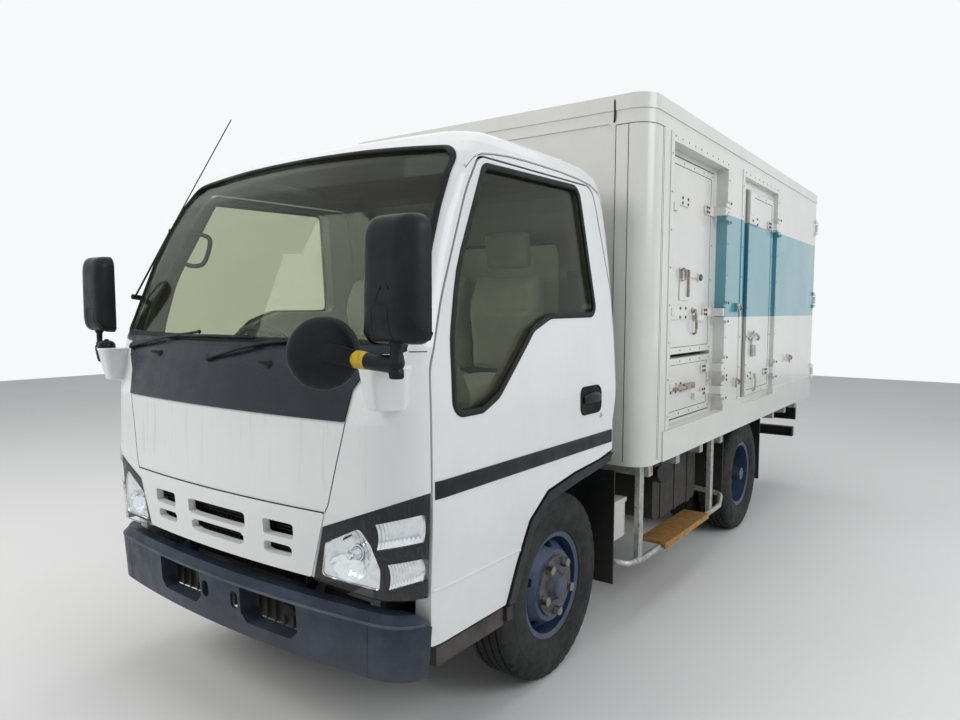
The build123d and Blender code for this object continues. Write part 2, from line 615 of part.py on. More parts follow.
with BuildPart() as lamp_bodies:
    cab_body(4)
    cab_body(54, mode=Mode.SUBTRACT)
    with BuildSketch(Plane.XZ.offset(846)):
        outline(LAMP)
        outline(mirrored(LAMP))
    extrude(amount=300, mode=Mode.INTERSECT)
    block((-700, 700), (-1200, -700), (300, FRONT_FOOT_Z), Mode.SUBTRACT)
    add(lamp_cells.part, mode=Mode.SUBTRACT)
    with BuildPart() as backs:
        add(bowl_pair(BOWL_R + 9, -4))
        cab_body(40, mode=Mode.INTERSECT)
    add(backs.part)
    add(bowl_pair(BOWL_R, -12), mode=Mode.SUBTRACT)
save(lamp_bodies.part, "headlamps")

with BuildPart() as cab_glass:
    cab_body(8)
    cab_body(14, mode=Mode.SUBTRACT)
    screen_cut(-1, Mode.INTERSECT)
    front_prism(grown(REAR_WINDOW, -1), (424, 430))
save(cab_glass.part, "cab_glass")

WHEEL_X = -365.0
STEERING = Plane(origin=(WHEEL_X, -430, 1300), z_dir=(0, 0.56, 0.83))
COLUMN_FOOT = STEERING.origin - STEERING.z_dir * 330
with BuildPart() as dashboard:
    side_prism([(-950, 1000), (-950, 1330, 20), (-830, 1372, 30), (-640, 1340, 50), (-560, 1200, 40), (-640, 1000, 20)],
               (-780, 780))
    cab_body(CAB_WALL + 8, mode=Mode.INTERSECT)
    rod(COLUMN_FOOT - STEERING.z_dir * 60, STEERING.origin, 26.5, Mode.SUBTRACT)
save(dashboard.part, "dashboard")

with BuildPart() as seats:
    for x0, x1 in ((-600, -130), (-110, 190), (200, 600)):
        side_prism([(-300, 1061), (-300, 1150, 30), (150, 1190, 30), (300, 1190, 30), (300, 1061)], (x0, x1))
        side_prism([(180, 1180), (130, 1500, 40), (200, 1660, 30), (290, 1660, 30), (300, 1180)], (x0 + 10, x1 - 10))
    for x in (-365, 400):
        side_prism([(180, 1650), (170, 1840, 30), (250, 1840, 30), (270, 1650)], (x - 120, x + 120))
save(seats.part, "seats")

with BuildPart() as steering:
    lean = STEERING
    with BuildSketch(Plane(origin=lean.origin + lean.x_dir * 185, x_dir=lean.x_dir, z_dir=lean.y_dir)):
        RegularPolygon(14, 8)
    revolve(axis=Axis(lean.origin, lean.z_dir))
    rod(lean.origin - lean.z_dir * 30, lean.origin + lean.z_dir * 6, 60)
    for angle in (0, 120, 240):
        reach = lean.x_dir * (185 * cos(radians(angle + 90))) + lean.y_dir * (185 * sin(radians(angle + 90)))
        rod(lean.origin - lean.z_dir * 6, lean.origin + reach, 10)
    rod(COLUMN_FOOT, lean.origin - lean.z_dir * 20, 26)
save(steering.part, "steering_wheel")

# Mirror bases on the cab's corners: plan outlines at foot and head (X, Y, corner radius)
MIRROR_BASE = [
    (1197, [(720, -880, 4), (720, -1002, 16), (768, -1002, 16), (816, -930, 16), (780, -872, 4)]),
    (1323, [(710, -880, 4), (710, -1030, 20), (775, -1030, 20), (842, -945, 20), (790, -872, 4)]),
]
with BuildPart() as mirrors:
    for side, y, z in ((1, -1155, 1562), (-1, -912, 1547)):
        x = side * 985
        with BuildSketch(Plane(origin=(x, y + 30, z), x_dir=(1, 0, 0), z_dir=(0, -1, 0))):
            RectangleRounded(180, 323, 45)
        extrude(amount=75, taper=12)
        rod((x, y, z - 150), (x, y, z - 215), 11)
        tube_path([(x, y, z - 205), (x, y, z - 235), (side * 800, -985, z - 235 - 10)], [14], 13)
        sections = []
        for height, points in MIRROR_BASE:
            with BuildSketch(Plane.XY.offset(height)) as section:
                outline(points if side > 0 else mirrored(points))
            sections.append(section.sketch)
        loft(sections, ruled=True)
        rod((side * 790, -980, 1290), (side * 790, -980, z - 230), 26)
    # Round mirror, its back turned outwards and forwards
    rod((765, -1194.8, 1372), (798, -1223.4, 1377.3), 96)
    rod((985, -1155, 1348), (800, -1200, 1372), 14)
    cab_body(mode=Mode.SUBTRACT)
save(mirrors.part, "mirrors")

WIPER_REACH = 14.0
# Pivot, then the arm's end and the blade's two ends, as points on the skin
WIPERS = [
    [(-660, -930, 1330), (-164, -944, 1398), (-412, -938, 1377), (153, -948, 1388)],
    [(-58, -980, 1311), (301, -944, 1382), (90, -960, 1358), (590, -915, 1396)],
]
NOZZLES = [(-407, -963, 1314), (264, -975, 1304)]
with BuildPart() as wipers:
    for points in WIPERS:
        pivot, arm_end, blade_in, blade_out = [(x, y - WIPER_REACH, z) for x, y, z in points]
        rod((pivot[0], pivot[1] + 20, pivot[2] - 8), (pivot[0], pivot[1] - 8, pivot[2] + 4), 17)
        rod(pivot, arm_end, 6)
        rod(blade_in, blade_out, 5)
    for x, y, z in NOZZLES:
        rod((x, y + 10, z - 4), (x, y - 24, z + 10), 14)
    cab_body(-6, mode=Mode.SUBTRACT)
save(wipers.part, "wipers")

with BuildPart() as antenna:
    rod((-795, -790, 1526), (-792, -864, 1536), 11)
    rod((-792, -855, 1530), (-778, -692, 1828), 4)
    rod((-778, -694, 1824), (-748, -392, 2366), 2.5)
    rod((-781, -698, 1829), (-756, -660, 1820), 7)
    cab_body(mode=Mode.SUBTRACT)
save(antenna.part, "antenna")


def arch_offset(step, centre=(0, 400)):
    """The wheel-arch line drawn towards the wheel by a step."""
    points = []
    for y, z in ARCH:
        dy, dz = y - centre[0], z - centre[1]
        length = hypot(dy, dz)
        points.append((y - dy / length * step, z - dz / length * step))
    return points


with BuildPart() as flares:
    for x in ((789.2, 852), (-852, -789.2)):
        band = arch_offset(8) + list(reversed(arch_offset(50)))
        side_prism(band, x)
        block(x, (-446, -410), (400, 450))
    for side in (1, -1):
        for y in (-100, 100):
            block(sorted((side * 700, side * 795)), (y, y + 60), (785, 800))
save(flares.part, "arch_flares")

# Cab doors
for side, name in ((1, "left"), (-1, "right")):
    inner, outer = side * 600, side * 900
    with BuildPart() as door:
        cab_body()
        cab_body(CAB_WALL, mode=Mode.SUBTRACT)
        with BuildSketch(Plane.YZ.offset(min(inner, outer))):
            outline(DOOR)
        extrude(amount=300, mode=Mode.INTERSECT)
        side_prism(WINDOW, (min(inner, outer), max(inner, outer)), mode=Mode.SUBTRACT)
        block((-900, 900), (-1200, 700), (300, 457), Mode.SUBTRACT)
    save(door.part, f"cab_door_{name}")

    with BuildPart() as pane:
        cab_body(14)
        cab_body(19, mode=Mode.SUBTRACT)
        with BuildSketch(Plane.YZ.offset(min(inner, outer))):
            outline(grown(WINDOW, -1))
        extrude(amount=300, mode=Mode.INTERSECT)
    save(pane.part, f"door_glass_{name}")

# Freezer body
with BuildPart() as box_floor:
    block((-BOX_HALF + WALL, BOX_HALF - WALL), (BOX_FRONT + WALL, 3917), (BOX_Z0, BOX_Z0 + FLOOR_T))
    for y in (700, 1060, 1420, 1780, 3000, 3360, 3720):
        block((-BOX_HALF + 40, BOX_HALF - 40), (y, y + 50), (701, BOX_Z0))
save(box_floor.part, "box_floor")

with BuildPart() as box_front:
    plan_prism([(-BOX_HALF, BOX_FRONT, 100), (BOX_HALF, BOX_FRONT, 100), (BOX_HALF, BOX_FRONT + POST),
                (BOX_HALF - WALL, BOX_FRONT + POST), (BOX_HALF - WALL, BOX_FRONT + WALL),
                (-BOX_HALF + WALL, BOX_FRONT + WALL), (-BOX_HALF + WALL, BOX_FRONT + POST),
                (-BOX_HALF, BOX_FRONT + POST)], (BOX_Z0, BOX_Z1 - ROOF_T))
    FRONT_FIELD = [(-757, 790, 10), (-757, 2330, 40), (757, 2330, 40), (757, 790, 10)]
    front_prism(FRONT_FIELD, (BOX_FRONT - 1, BOX_FRONT + 6), mode=Mode.SUBTRACT)
save(box_front.part, "box_front_wall")

ROOF_RAIL = 5.0
with BuildPart() as box_roof:
    plan_prism([(-BOX_HALF, BOX_FRONT, 100), (BOX_HALF, BOX_FRONT, 100), (BOX_HALF, BOX_REAR), (-BOX_HALF, BOX_REAR)],
               (BOX_Z1 - ROOF_T, BOX_Z1))
    half, front = BOX_HALF + ROOF_RAIL, BOX_FRONT - ROOF_RAIL
    plan_prism([(-half, front, 105), (half, front, 105), (half, BOX_REAR), (-half, BOX_REAR)], (2385, 2444))
save(box_roof.part, "box_roof")

SIDE_FRONT, SIDE_REAR = BOX_FRONT + POST, 3917.0
SIDE_TOP = BOX_Z1 - ROOF_T
# Recesses of the left side doors (y from, y to, z from, z to, depth)
RECESSES = [(825, 1655, 920, 2282, 60), (1985, 2785, 908, 2292, 30)]
FRAME_WIDTH, FRAME_PROUD = 40.0, 4.0
LEAVES = {
    # name: (y from, y to, z from, z to, outer face X, hinge Y, hinge X, recess edge Y)
    "side_door_lower": (955, 1592, 936, 1246, 870, 1615, 938, 1655),
    "side_door_upper": (955, 1592, 1264, 2250, 870, 1615, 938, 1655),
    "side_door_middle": (2134, 2715, 950, 2236, 920, 2748, 944, 2785),
}
# Latches and pulls on the leaves: (y from, y to, z from, z to, how proud)
LEAF_HARDWARE = {
    "side_door_lower": [(962, 1035, 1084, 1120, 16), (1310, 1440, 1016, 1044, 20)],
    "side_door_upper": [(962, 1035, 1984, 2020, 16), (962, 1035, 1464, 1500, 16), (1096, 1134, 1642, 1690, 20),
                        (1348, 1392, 1648, 1684, 14), (1310, 1440, 1436, 1464, 20)],
    "side_door_middle": [(2256, 2318, 1270, 1350, 11), (2240, 2340, 1056, 1084, 11)],
}
HOLES = [(949, 1598, 930, 2256), (2128, 2721, 944, 2242)]
KNUCKLE_H = 44.0
# Where each leaf's two knuckles start
KNUCKLES = {"side_door_lower": (1018, 1146), "side_door_upper": (1458, 2018), "side_door_middle": (1058, 2038)}


with BuildPart() as box_left:
    block((BOX_HALF - WALL, BOX_HALF), (SIDE_FRONT, SIDE_REAR), (BOX_Z0, SIDE_TOP))
    block((BOX_HALF - 1, BOX_HALF + 8), (SIDE_FRONT + 60, 1650), (BOX_Z0, 915))
    block((BOX_HALF - 1, BOX_HALF + 8), (1650, SIDE_REAR), (BOX_Z0, 948))
    for y0, y1, z0, z1, depth in RECESSES:
        block((BOX_HALF - 1, BOX_HALF + FRAME_PROUD), (y0 - FRAME_WIDTH, y1 + FRAME_WIDTH),
              (z0 - 2, z1 + FRAME_WIDTH))
    for y0, y1, z0, z1, depth in RECESSES:
        block((BOX_HALF - depth, BOX_HALF + 20), (y0, y1), (z0, z1), Mode.SUBTRACT)
    for y0, y1, z0, z1 in HOLES:
        block((BOX_HALF - WALL - 1, BOX_HALF + 20), (y0, y1), (z0, z1), Mode.SUBTRACT)
    # Fixed hinge brackets above and below each knuckle
    for name, (y0, y1, z0, z1, face, hinge_y, hinge_x, edge) in LEAVES.items():
        for z in KNUCKLES[name]:
            for low, high, foot, head in ((z - 24, z - 6, z - 40, z - 6), (z + 50, z + 68, z + 50, z + 84)):
                block((BOX_HALF - 1, hinge_x + 6), (edge, edge + 44), (foot, head))
                block((hinge_x - 5, hinge_x + 6), (hinge_y, edge + 1), (low, high))
                rod((hinge_x, hinge_y, low), (hinge_x, hinge_y, high), 9)
    # Catches that hold the open leaves
    for y, z in ((1867, 1508), (1867, 1065), (3203, 1140)):
        block((BOX_HALF - 1, BOX_HALF + 16), (y - 22, y + 22), (z - 26, z + 26))
save(box_left.part, "box_side_left")

with BuildPart() as box_right:
    block((-BOX_HALF, -BOX_HALF + WALL), (SIDE_FRONT, SIDE_REAR), (BOX_Z0, SIDE_TOP))
    block((-BOX_HALF - 8, -BOX_HALF + 1), (SIDE_FRONT + 60, SIDE_REAR), (BOX_Z0, 948))
save(box_right.part, "box_side_right")

REAR_HALF = 895.0
REAR_HINGES = (950, 1550, 2150)
STRAP_H = 60.0
with BuildPart() as rear_frame:
    block((-BOX_HALF, BOX_HALF), (3917, BOX_REAR), (BOX_Z0, SIDE_TOP))
    block((-REAR_HALF - 5, REAR_HALF + 5), (3997, BOX_REAR + 1), (BOX_Z0 + 30, SIDE_TOP + 1), Mode.SUBTRACT)
    block((-800, 800), (3900, BOX_REAR), (BOX_Z0 + FLOOR_T, SIDE_TOP - 60), Mode.SUBTRACT)
    for side in (1, -1):
        # Fixed hinge brackets on the corner post, and keepers for the lock bars
        for z in REAR_HINGES:
            for low, high, foot, head in ((z - 24, z - 6, z - 36, z - 6), (z + 66, z + 84, z + 66, z + 96)):
                block(sorted((side * (BOX_HALF - 1), side * (BOX_HALF + 11))), (4030, BOX_REAR), (foot, head))
                block(sorted((side * (BOX_HALF - 1), side * (BOX_HALF + 11))), (BOX_REAR - 1, REAR_HINGE_Y), (low, high))
                rod((side * REAR_HINGE_X, REAR_HINGE_Y, low), (side * REAR_HINGE_X, REAR_HINGE_Y, high), 10)
        for x in (120, 620):
            block(sorted((side * (x - 24), side * (x + 24))), (BOX_REAR - 1, BOX_REAR + 22), (774, 798))
save(rear_frame.part, "box_rear_frame")

for name, (y0, y1, z0, z1, face, hinge_y, hinge_x, edge) in LEAVES.items():
    with BuildPart() as leaf:
        plan_prism([(face, y0), (face, y1), (face - 58, y1), (face - 58, y0 + 22)], (z0, z1))
        for z in KNUCKLES[name]:
            block((face - 1, face + 10), (y1 - 60, y1), (z, z + KNUCKLE_H))
            block((face + 9, hinge_x + 8), (y1 - 12, y1), (z, z + KNUCKLE_H))
            block((hinge_x - 6, hinge_x + 8), (y1 - 12, hinge_y), (z, z + KNUCKLE_H))
            rod((hinge_x, hinge_y, z), (hinge_x, hinge_y, z + KNUCKLE_H), 9)
        for low_y, high_y, low_z, high_z, proud in LEAF_HARDWARE[name]:
            block((face - 1, face + proud), (low_y, high_y), (low_z, high_z))
    save(leaf.part, name)

for side, name in ((1, "left"), (-1, "right")):
    with BuildPart() as rear_door:
        block(sorted((side * 6, side * REAR_HALF)), (4002, BOX_REAR), (BOX_Z0 + 36, SIDE_TOP - 6))
        for z in REAR_HINGES:
            block(sorted((side * 760, side * REAR_HALF)), (BOX_REAR - 1, BOX_REAR + 10), (z, z + STRAP_H))
            block(sorted((side * 880, side * REAR_HINGE_X)), (BOX_REAR + 9, BOX_REAR + 31), (z, z + STRAP_H))
            rod((side * REAR_HINGE_X, REAR_HINGE_Y, z), (side * REAR_HINGE_X, REAR_HINGE_Y, z + STRAP_H), 10)
        for x in (120, 620):
            # A lock bar with its guides, and a handle at its waist
            rod((side * x, BOX_REAR + 20, 812), (side * x, BOX_REAR + 20, 2352), 11)
            for z in (860, 1400, 2280):
                block(sorted((side * (x - 24), side * (x + 24))), (BOX_REAR - 1, BOX_REAR + 21), (z, z + 36))
            block(sorted((side * (x + 10), side * (x + 190))), (BOX_REAR + 14, BOX_REAR + 24), (1262, 1292))
            block(sorted((side * (x + 150), side * (x + 186))), (BOX_REAR - 1, BOX_REAR + 15), (1266, 1288))
    save(rear_door.part, f"rear_door_{name}")
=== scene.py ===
import math

import bmesh
import bpy
from mathutils import Matrix, Vector


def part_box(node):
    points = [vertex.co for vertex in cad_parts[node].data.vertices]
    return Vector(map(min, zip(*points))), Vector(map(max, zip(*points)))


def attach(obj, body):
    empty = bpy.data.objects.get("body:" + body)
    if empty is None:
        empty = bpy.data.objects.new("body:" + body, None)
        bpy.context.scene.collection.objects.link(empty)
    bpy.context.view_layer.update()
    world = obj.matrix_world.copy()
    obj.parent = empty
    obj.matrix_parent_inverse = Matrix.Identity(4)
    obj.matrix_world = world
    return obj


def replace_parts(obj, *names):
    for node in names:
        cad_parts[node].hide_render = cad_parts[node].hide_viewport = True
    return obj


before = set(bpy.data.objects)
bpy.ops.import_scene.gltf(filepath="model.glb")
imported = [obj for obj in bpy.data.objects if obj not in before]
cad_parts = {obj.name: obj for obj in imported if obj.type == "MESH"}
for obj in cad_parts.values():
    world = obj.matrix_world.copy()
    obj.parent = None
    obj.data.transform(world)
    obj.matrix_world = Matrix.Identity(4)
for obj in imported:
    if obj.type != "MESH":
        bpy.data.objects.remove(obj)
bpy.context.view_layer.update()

# Drawing frame: millimetres from the front axle and the ground
MID = 1406.8
AXLE_Z = 375.6
WHEELBASE = 2493.0


def at(x, y, z):
    """A drawing point in the row's frame, in metres."""
    return Vector((x / 1000, (y - MID) / 1000, z / 1000))


# Camera
R = Vector((0.81098, 0.58505, 0.00493))
U = Vector((-0.04534, 0.05445, 0.99749))
F = R.cross(U) * -1
camera_data = bpy.data.cameras.new("camera")
camera_data.lens = 26.78
camera_data.sensor_width = 36.0
camera_data.clip_start = 0.05
camera_data.clip_end = 200.0
camera = bpy.data.objects.new("camera", camera_data)
turn = Matrix((R, U, -F)).transposed().to_4x4()
camera.matrix_world = Matrix.Translation((2.1895, -3.8774, 1.4889)) @ turn
bpy.context.scene.collection.objects.link(camera)
bpy.context.scene.camera = camera


# Node graphs
class Finish:
    """A procedural material: a shader and short calls that add nodes."""

    def __init__(self, name, rough=0.5, metal=0.0, coat=0.0, coat_rough=0.1, spec=0.5, sheen=0.0):
        self.material = bpy.data.materials.new(name)
        self.material.use_nodes = True
        self.tree = self.material.node_tree
        self.shader = self.tree.nodes["Principled BSDF"]
        values = {"Roughness": rough, "Metallic": metal, "Coat Weight": coat, "Coat Roughness": coat_rough,
                  "Specular IOR Level": spec, "Sheen Weight": sheen}
        for socket, value in values.items():
            self.shader.inputs[socket].default_value = value
        place = self.tree.nodes.new("ShaderNodeTexCoord")
        self.place = place.outputs["Object"]
        split = self.tree.nodes.new("ShaderNodeSeparateXYZ")
        self.tree.links.new(self.place, split.inputs[0])
        self.x, self.y, self.z = split.outputs

    def put(self, socket, value):
        if isinstance(value, bpy.types.NodeSocket):
            self.tree.links.new(value, socket)
        elif hasattr(value, "__len__") and len(value) == 3 and socket.type == "RGBA":
            socket.default_value = (*value, 1)
        else:
            socket.default_value = value

    def op(self, kind, a, b=0.0, clamp=False):
        node = self.tree.nodes.new("ShaderNodeMath")
        node.operation = kind
        node.use_clamp = clamp
        self.put(node.inputs[0], a)
        self.put(node.inputs[1], b)
        return node.outputs[0]

    def length(self, a, b):
        squares = self.op("ADD", self.op("MULTIPLY", a, a), self.op("MULTIPLY", b, b))
        return self.op("SQRT", squares)

    def ramp(self, value, low, high, to_low=0.0, to_high=1.0):
        node = self.tree.nodes.new("ShaderNodeMapRange")
        node.interpolation_type = "SMOOTHSTEP"
        self.put(node.inputs["Value"], value)
        for name, number in (("From Min", low), ("From Max", high), ("To Min", to_low), ("To Max", to_high)):
            node.inputs[name].default_value = number
        return node.outputs[0]

    def between(self, value, low, high, soft=0.001):
        up = self.ramp(value, low - soft, low + soft)
        down = self.ramp(value, high - soft, high + soft, 1.0, 0.0)
        return self.op("MULTIPLY", up, down)

    def noise(self, scale, detail=4.0, rough=0.55, stretch=(1, 1, 1), shift=(0, 0, 0)):
        mapping = self.tree.nodes.new("ShaderNodeMapping")
        mapping.inputs["Scale"].default_value = stretch
        mapping.inputs["Location"].default_value = shift
        self.tree.links.new(self.place, mapping.inputs[0])
        node = self.tree.nodes.new("ShaderNodeTexNoise")
        node.inputs["Scale"].default_value = scale
        node.inputs["Detail"].default_value = detail
        node.inputs["Roughness"].default_value = rough
        self.tree.links.new(mapping.outputs[0], node.inputs["Vector"])
        return node.outputs["Fac"]

    def mix(self, amount, a, b):
        node = self.tree.nodes.new("ShaderNodeMix")
        node.data_type = "RGBA"
        self.put(node.inputs[0], amount)
        self.put(node.inputs[6], a)
        self.put(node.inputs[7], b)
        return node.outputs[2]

    def blotch(self, scale, detail, rough, low, high, a, b, most=1.0, stretch=(1, 1, 1), shift=(0, 0, 0)):
        """Colour a with patches of colour b, where a noise passes from low to high."""
        amount = self.ramp(self.noise(scale, detail, rough, stretch, shift), low, high, 0.0, most)
        return self.mix(amount, a, b)

    def colour(self, value):
        self.put(self.shader.inputs["Base Color"], value)

    def bump(self, height, distance=0.001, strength=0.5):
        node = self.tree.nodes.new("ShaderNodeBump")
        node.inputs["Distance"].default_value = distance
        node.inputs["Strength"].default_value = strength
        self.put(node.inputs["Height"], height)
        self.tree.links.new(node.outputs[0], self.shader.inputs["Normal"])

    def surface(self, wear, low, high, grain, distance, strength):
        """Roughness that one noise moves from low to high, and a bump from a finer one."""
        self.put(self.shader.inputs["Roughness"], self.ramp(self.noise(*wear), 0.3, 0.7, low, high))
        self.bump(self.noise(*grain), distance, strength)


DUST = (0.30, 0.28, 0.25)


def shade(colour, factor, lift=0.0):
    """A darker or lighter version of a colour."""
    return tuple(c * factor + lift for c in colour)


def road_dirt(f, base, low=0.15, high=0.9, most=0.6, film=DUST):
    """The base colour with dirt that thins out with height."""
    patches = f.noise(5.0, 6.0, 0.65)
    height = f.ramp(f.z, low, high, 1.0, 0.0)
    amount = f.op("MULTIPLY", height, f.ramp(patches, 0.3, 0.75, 0.1, most))
    return f.mix(amount, base, film)


# The cab's skin: plan sections (height, half width, front, rear, front radius, rear radius), bowed in front
BOW = 5000.0
SKIN = [
    (440, 842, -1004, 400, 175, 20), (634, 844, -1006, 400, 180, 20), (862, 847.5, -1022, 405, 185, 20),
    (1000, 847, -1018, 408, 185, 20), (1146, 845, -1014, 458, 180, 45), (1300, 836, -985, 458, 125, 45),
    (1376, 830.5, -955, 458, 85, 45), (1678, 802, -840, 455, 80, 50), (1811, 790, -775, 445, 78, 52),
    (1927, 779, -705, 432, 75, 58), (2010, 769, -640, 418, 72, 66), (2052, 757, -600, 405, 85, 80),
    (2090, 728, -555, 378, 110, 110), (2122, 668, -470, 330, 140, 140), (2146, 560, -330, 250, 160, 160),
    (2160, 360, -130, 140, 110, 100),
]


def skin_table(f, pick):
    """Three numbers that follow the skin's sections with height, as one colour ramp."""
    foot, tall = SKIN[0][0], SKIN[-1][0] - SKIN[0][0]
    node = f.tree.nodes.new("ShaderNodeValToRGB")
    f.put(node.inputs[0], f.op("DIVIDE", f.op("SUBTRACT", f.z, foot / 1000), tall / 1000))
    stops = node.color_ramp.elements
    while len(stops) < len(SKIN):
        stops.new(0.5)
    for stop, row in zip(stops, SKIN):
        stop.position = (row[0] - foot) / tall
        stop.color = (*pick(*row), 1)
    split = f.tree.nodes.new("ShaderNodeSeparateColor")
    f.put(split.inputs[0], node.outputs[0])
    return split.outputs[:3]


def inner_face(f, depth=0.012):
    """One on the cab's inner faces: further than a depth inside the skin's sections."""
    half, front, rear = skin_table(
        f, lambda z, half, front, rear, rf, rr: (half / 1000, (front + 1100) / 1100, rear / 500))
    r_front, r_rear, _ = skin_table(f, lambda z, half, front, rear, rf, rr: (rf / 1000, rr / 1000, 0))
    reach = f.op("ABSOLUTE", f.x)
    bow = f.op("MULTIPLY", f.op("MULTIPLY", f.x, f.x), 0.1)
    front_y = f.op("ADD", f.op("SUBTRACT", f.op("MULTIPLY", front, 1.1), 1.1 + MID / 1000), bow)
    rear_y = f.op("SUBTRACT", f.op("MULTIPLY", rear, 0.5), MID / 1000)

    def corner(radius, along):
        """Depth inside a rounded corner, where along is how far its end face is ahead of the point."""
        across = f.op("MAXIMUM", f.op("SUBTRACT", reach, f.op("SUBTRACT", half, radius)), 0.0)
        along = f.op("MAXIMUM", f.op("SUBTRACT", radius, along), 0.0)
        return f.op("SUBTRACT", radius, f.length(across, along))

    gap = f.op("MINIMUM", corner(r_front, f.op("SUBTRACT", f.y, front_y)),
               corner(r_rear, f.op("SUBTRACT", rear_y, f.y)))
    gap = f.op("MINIMUM", gap, f.op("SUBTRACT", 2.162, f.z))
    return f.op("MULTIPLY", f.ramp(gap, depth - 0.002, depth + 0.002), f.ramp(f.z, 0.86, 0.90))


def white_paint(name, tint, stripe=None, streaks=1.0, cab=False):
    """White body paint with a dirt film, run marks, the body's colour band and the cab's trim inside."""
    f = Finish(name, rough=0.3, coat=0.5, coat_rough=0.12)
    soft = f.noise(2.2, 5.0, 0.6)
    base = f.mix(f.ramp(soft, 0.35, 0.7), tint, shade(tint, 0.94))
    if stripe:
        (y0, y1, z0, z1), teal, x_min = stripe
        inside = f.op("MULTIPLY", f.between(f.y, y0, y1, 0.0005), f.between(f.z, z0, z1, 0.0015))
        inside = f.op("MULTIPLY", inside, f.ramp(f.op("ABSOLUTE", f.x), x_min, x_min + 0.002))
        fade = f.ramp(f.noise(1.3, 4.0, 0.6, (1, 0.6, 1)), 0.3, 0.75)
        base = f.mix(inside, base, f.mix(fade, teal, shade(teal, 0.86, 0.07)))
    base = f.blotch(26.0, 5.0, 0.7, 0.56, 0.74, base, shade(tint, 0.62), 0.14 * streaks, (1, 1, 0.035))
    base = f.blotch(70.0, 3.0, 0.6, 0.6, 0.75, base, shade(tint, 0.45), 0.10 * streaks, (1, 1, 0.06),
                    (3, 1, 2))
    base = f.blotch(160.0, 2.0, 0.5, 0.72, 0.78, base, (0.34, 0.30, 0.25), 0.22 * streaks)
    if cab:
        drips = f.ramp(f.noise(60.0, 3.0, 0.6, (1.0, 0.4, 0.02), (5, 2, 1)), 0.57, 0.70, 0.0, 0.42)
        under = f.op("MULTIPLY", f.between(f.z, 0.93, 1.148, 0.03), f.ramp(f.y, -2.36, -2.40))
        base = f.mix(f.op("MULTIPLY", drips, under), base, (0.40, 0.39, 0.37))
    base = road_dirt(f, base, 0.35, 1.05, 0.22, (0.42, 0.40, 0.37))
    if cab:
        base = f.mix(inner_face(f), base, f.mix(soft, (0.085, 0.080, 0.066), (0.12, 0.114, 0.098)))
    f.colour(base)
    f.surface((3.0, 3.0, 0.5), 0.28, 0.36, (420.0, 2.0, 0.5), 0.0003, 0.12)
    return f.material


def dark_plastic(name, colour, worn, rough, grain=900.0, low=0.15, high=0.9, dirt=0.5):
    """Moulded plastic or paint on the dark parts, greyed in patches and dusty near the ground."""
    f = Finish(name, rough=rough, spec=0.22)
    base = f.blotch(6.0, 6.0, 0.65, 0.38, 0.72, colour, worn)
    base = f.blotch(55.0, 5.0, 0.7, 0.60, 0.74, base, shade(worn, 1.4, 0.008), 0.4)
    f.colour(road_dirt(f, base, low, high, dirt))
    f.surface((14.0, 5.0, 0.6), rough - 0.08, rough + 0.12, (grain, 3.0, 0.6), 0.0005, 0.35)
    return f.material


def metal(name, colour, rough, rust=0.0, low=0.1, high=0.9, dirt=0.3):
    """Bare, cast or zinc-coated metal with stains, and rust where asked."""
    f = Finish(name, rough=rough, metal=0.85)
    base = f.blotch(38.0, 5.0, 0.65, 0.35, 0.7, colour, shade(colour, 0.6))
    if rust:
        spots = f.ramp(f.noise(22.0, 7.0, 0.7), 0.62 - 0.2 * rust, 0.70 - 0.1 * rust)
        base = f.mix(spots, base, f.mix(f.noise(90.0, 4.0, 0.6), (0.16, 0.05, 0.018), (0.34, 0.13, 0.04)))
        f.put(f.shader.inputs["Metallic"], f.op("MULTIPLY", f.op("SUBTRACT", 1.0, spots), 0.85))
    f.colour(road_dirt(f, base, low, high, dirt))
    f.surface((30.0, 5.0, 0.6), rough, rough + 0.25, (260.0, 4.0, 0.6), 0.0006, 0.4)
    return f.material


def rubber():
    f = Finish("tyre_rubber", rough=0.78, spec=0.35)
    base = f.blotch(7.0, 6.0, 0.65, 0.35, 0.7, (0.010, 0.010, 0.011), (0.020, 0.0198, 0.0195))
    f.colour(f.blotch(34.0, 6.0, 0.7, 0.5, 0.75, base, (0.060, 0.057, 0.053), 0.3))
    f.surface((18.0, 4.0, 0.6), 0.65, 0.9, (500.0, 3.0, 0.6), 0.0006, 0.4)
    return f.material


def wheel_paint(name, y_centre, face):
    """Blue disc, dusty grey hub plate and bare nuts, told apart by distance from the axle."""
    f = Finish(name, rough=0.42, coat=0.25)
    dy = f.op("SUBTRACT", f.y, (y_centre - MID) / 1000)
    dz = f.op("SUBTRACT", f.z, AXLE_Z / 1000)
    r = f.length(dy, dz)
    blue = f.blotch(9.0, 6.0, 0.65, 0.35, 0.7, (0.016, 0.032, 0.080), (0.034, 0.055, 0.110))
    grey = f.blotch(30.0, 6.0, 0.65, 0.35, 0.7, (0.022, 0.023, 0.026), (0.075, 0.073, 0.072))
    grey = f.mix(f.ramp(r, 0.050, 0.054), (0.020, 0.034, 0.070), grey)
    base = f.mix(f.ramp(r, 0.1235, 0.1275), grey, blue)
    outside = f.ramp(f.op("ABSOLUTE", f.x), face, face + 0.004)
    nuts = f.op("MULTIPLY", f.between(r, 0.088, 0.115, 0.002), outside)
    base = f.mix(nuts, base, (0.17, 0.168, 0.16))
    base = f.blotch(120.0, 5.0, 0.7, 0.60, 0.70, base, (0.16, 0.13, 0.11), 0.7)
    f.colour(f.blotch(12.0, 6.0, 0.7, 0.42, 0.75, base, (0.07, 0.065, 0.06), 0.22))
    f.surface((20.0, 4.0, 0.6), 0.35, 0.65, (220.0, 4.0, 0.6), 0.0006, 0.4)
    return f.material


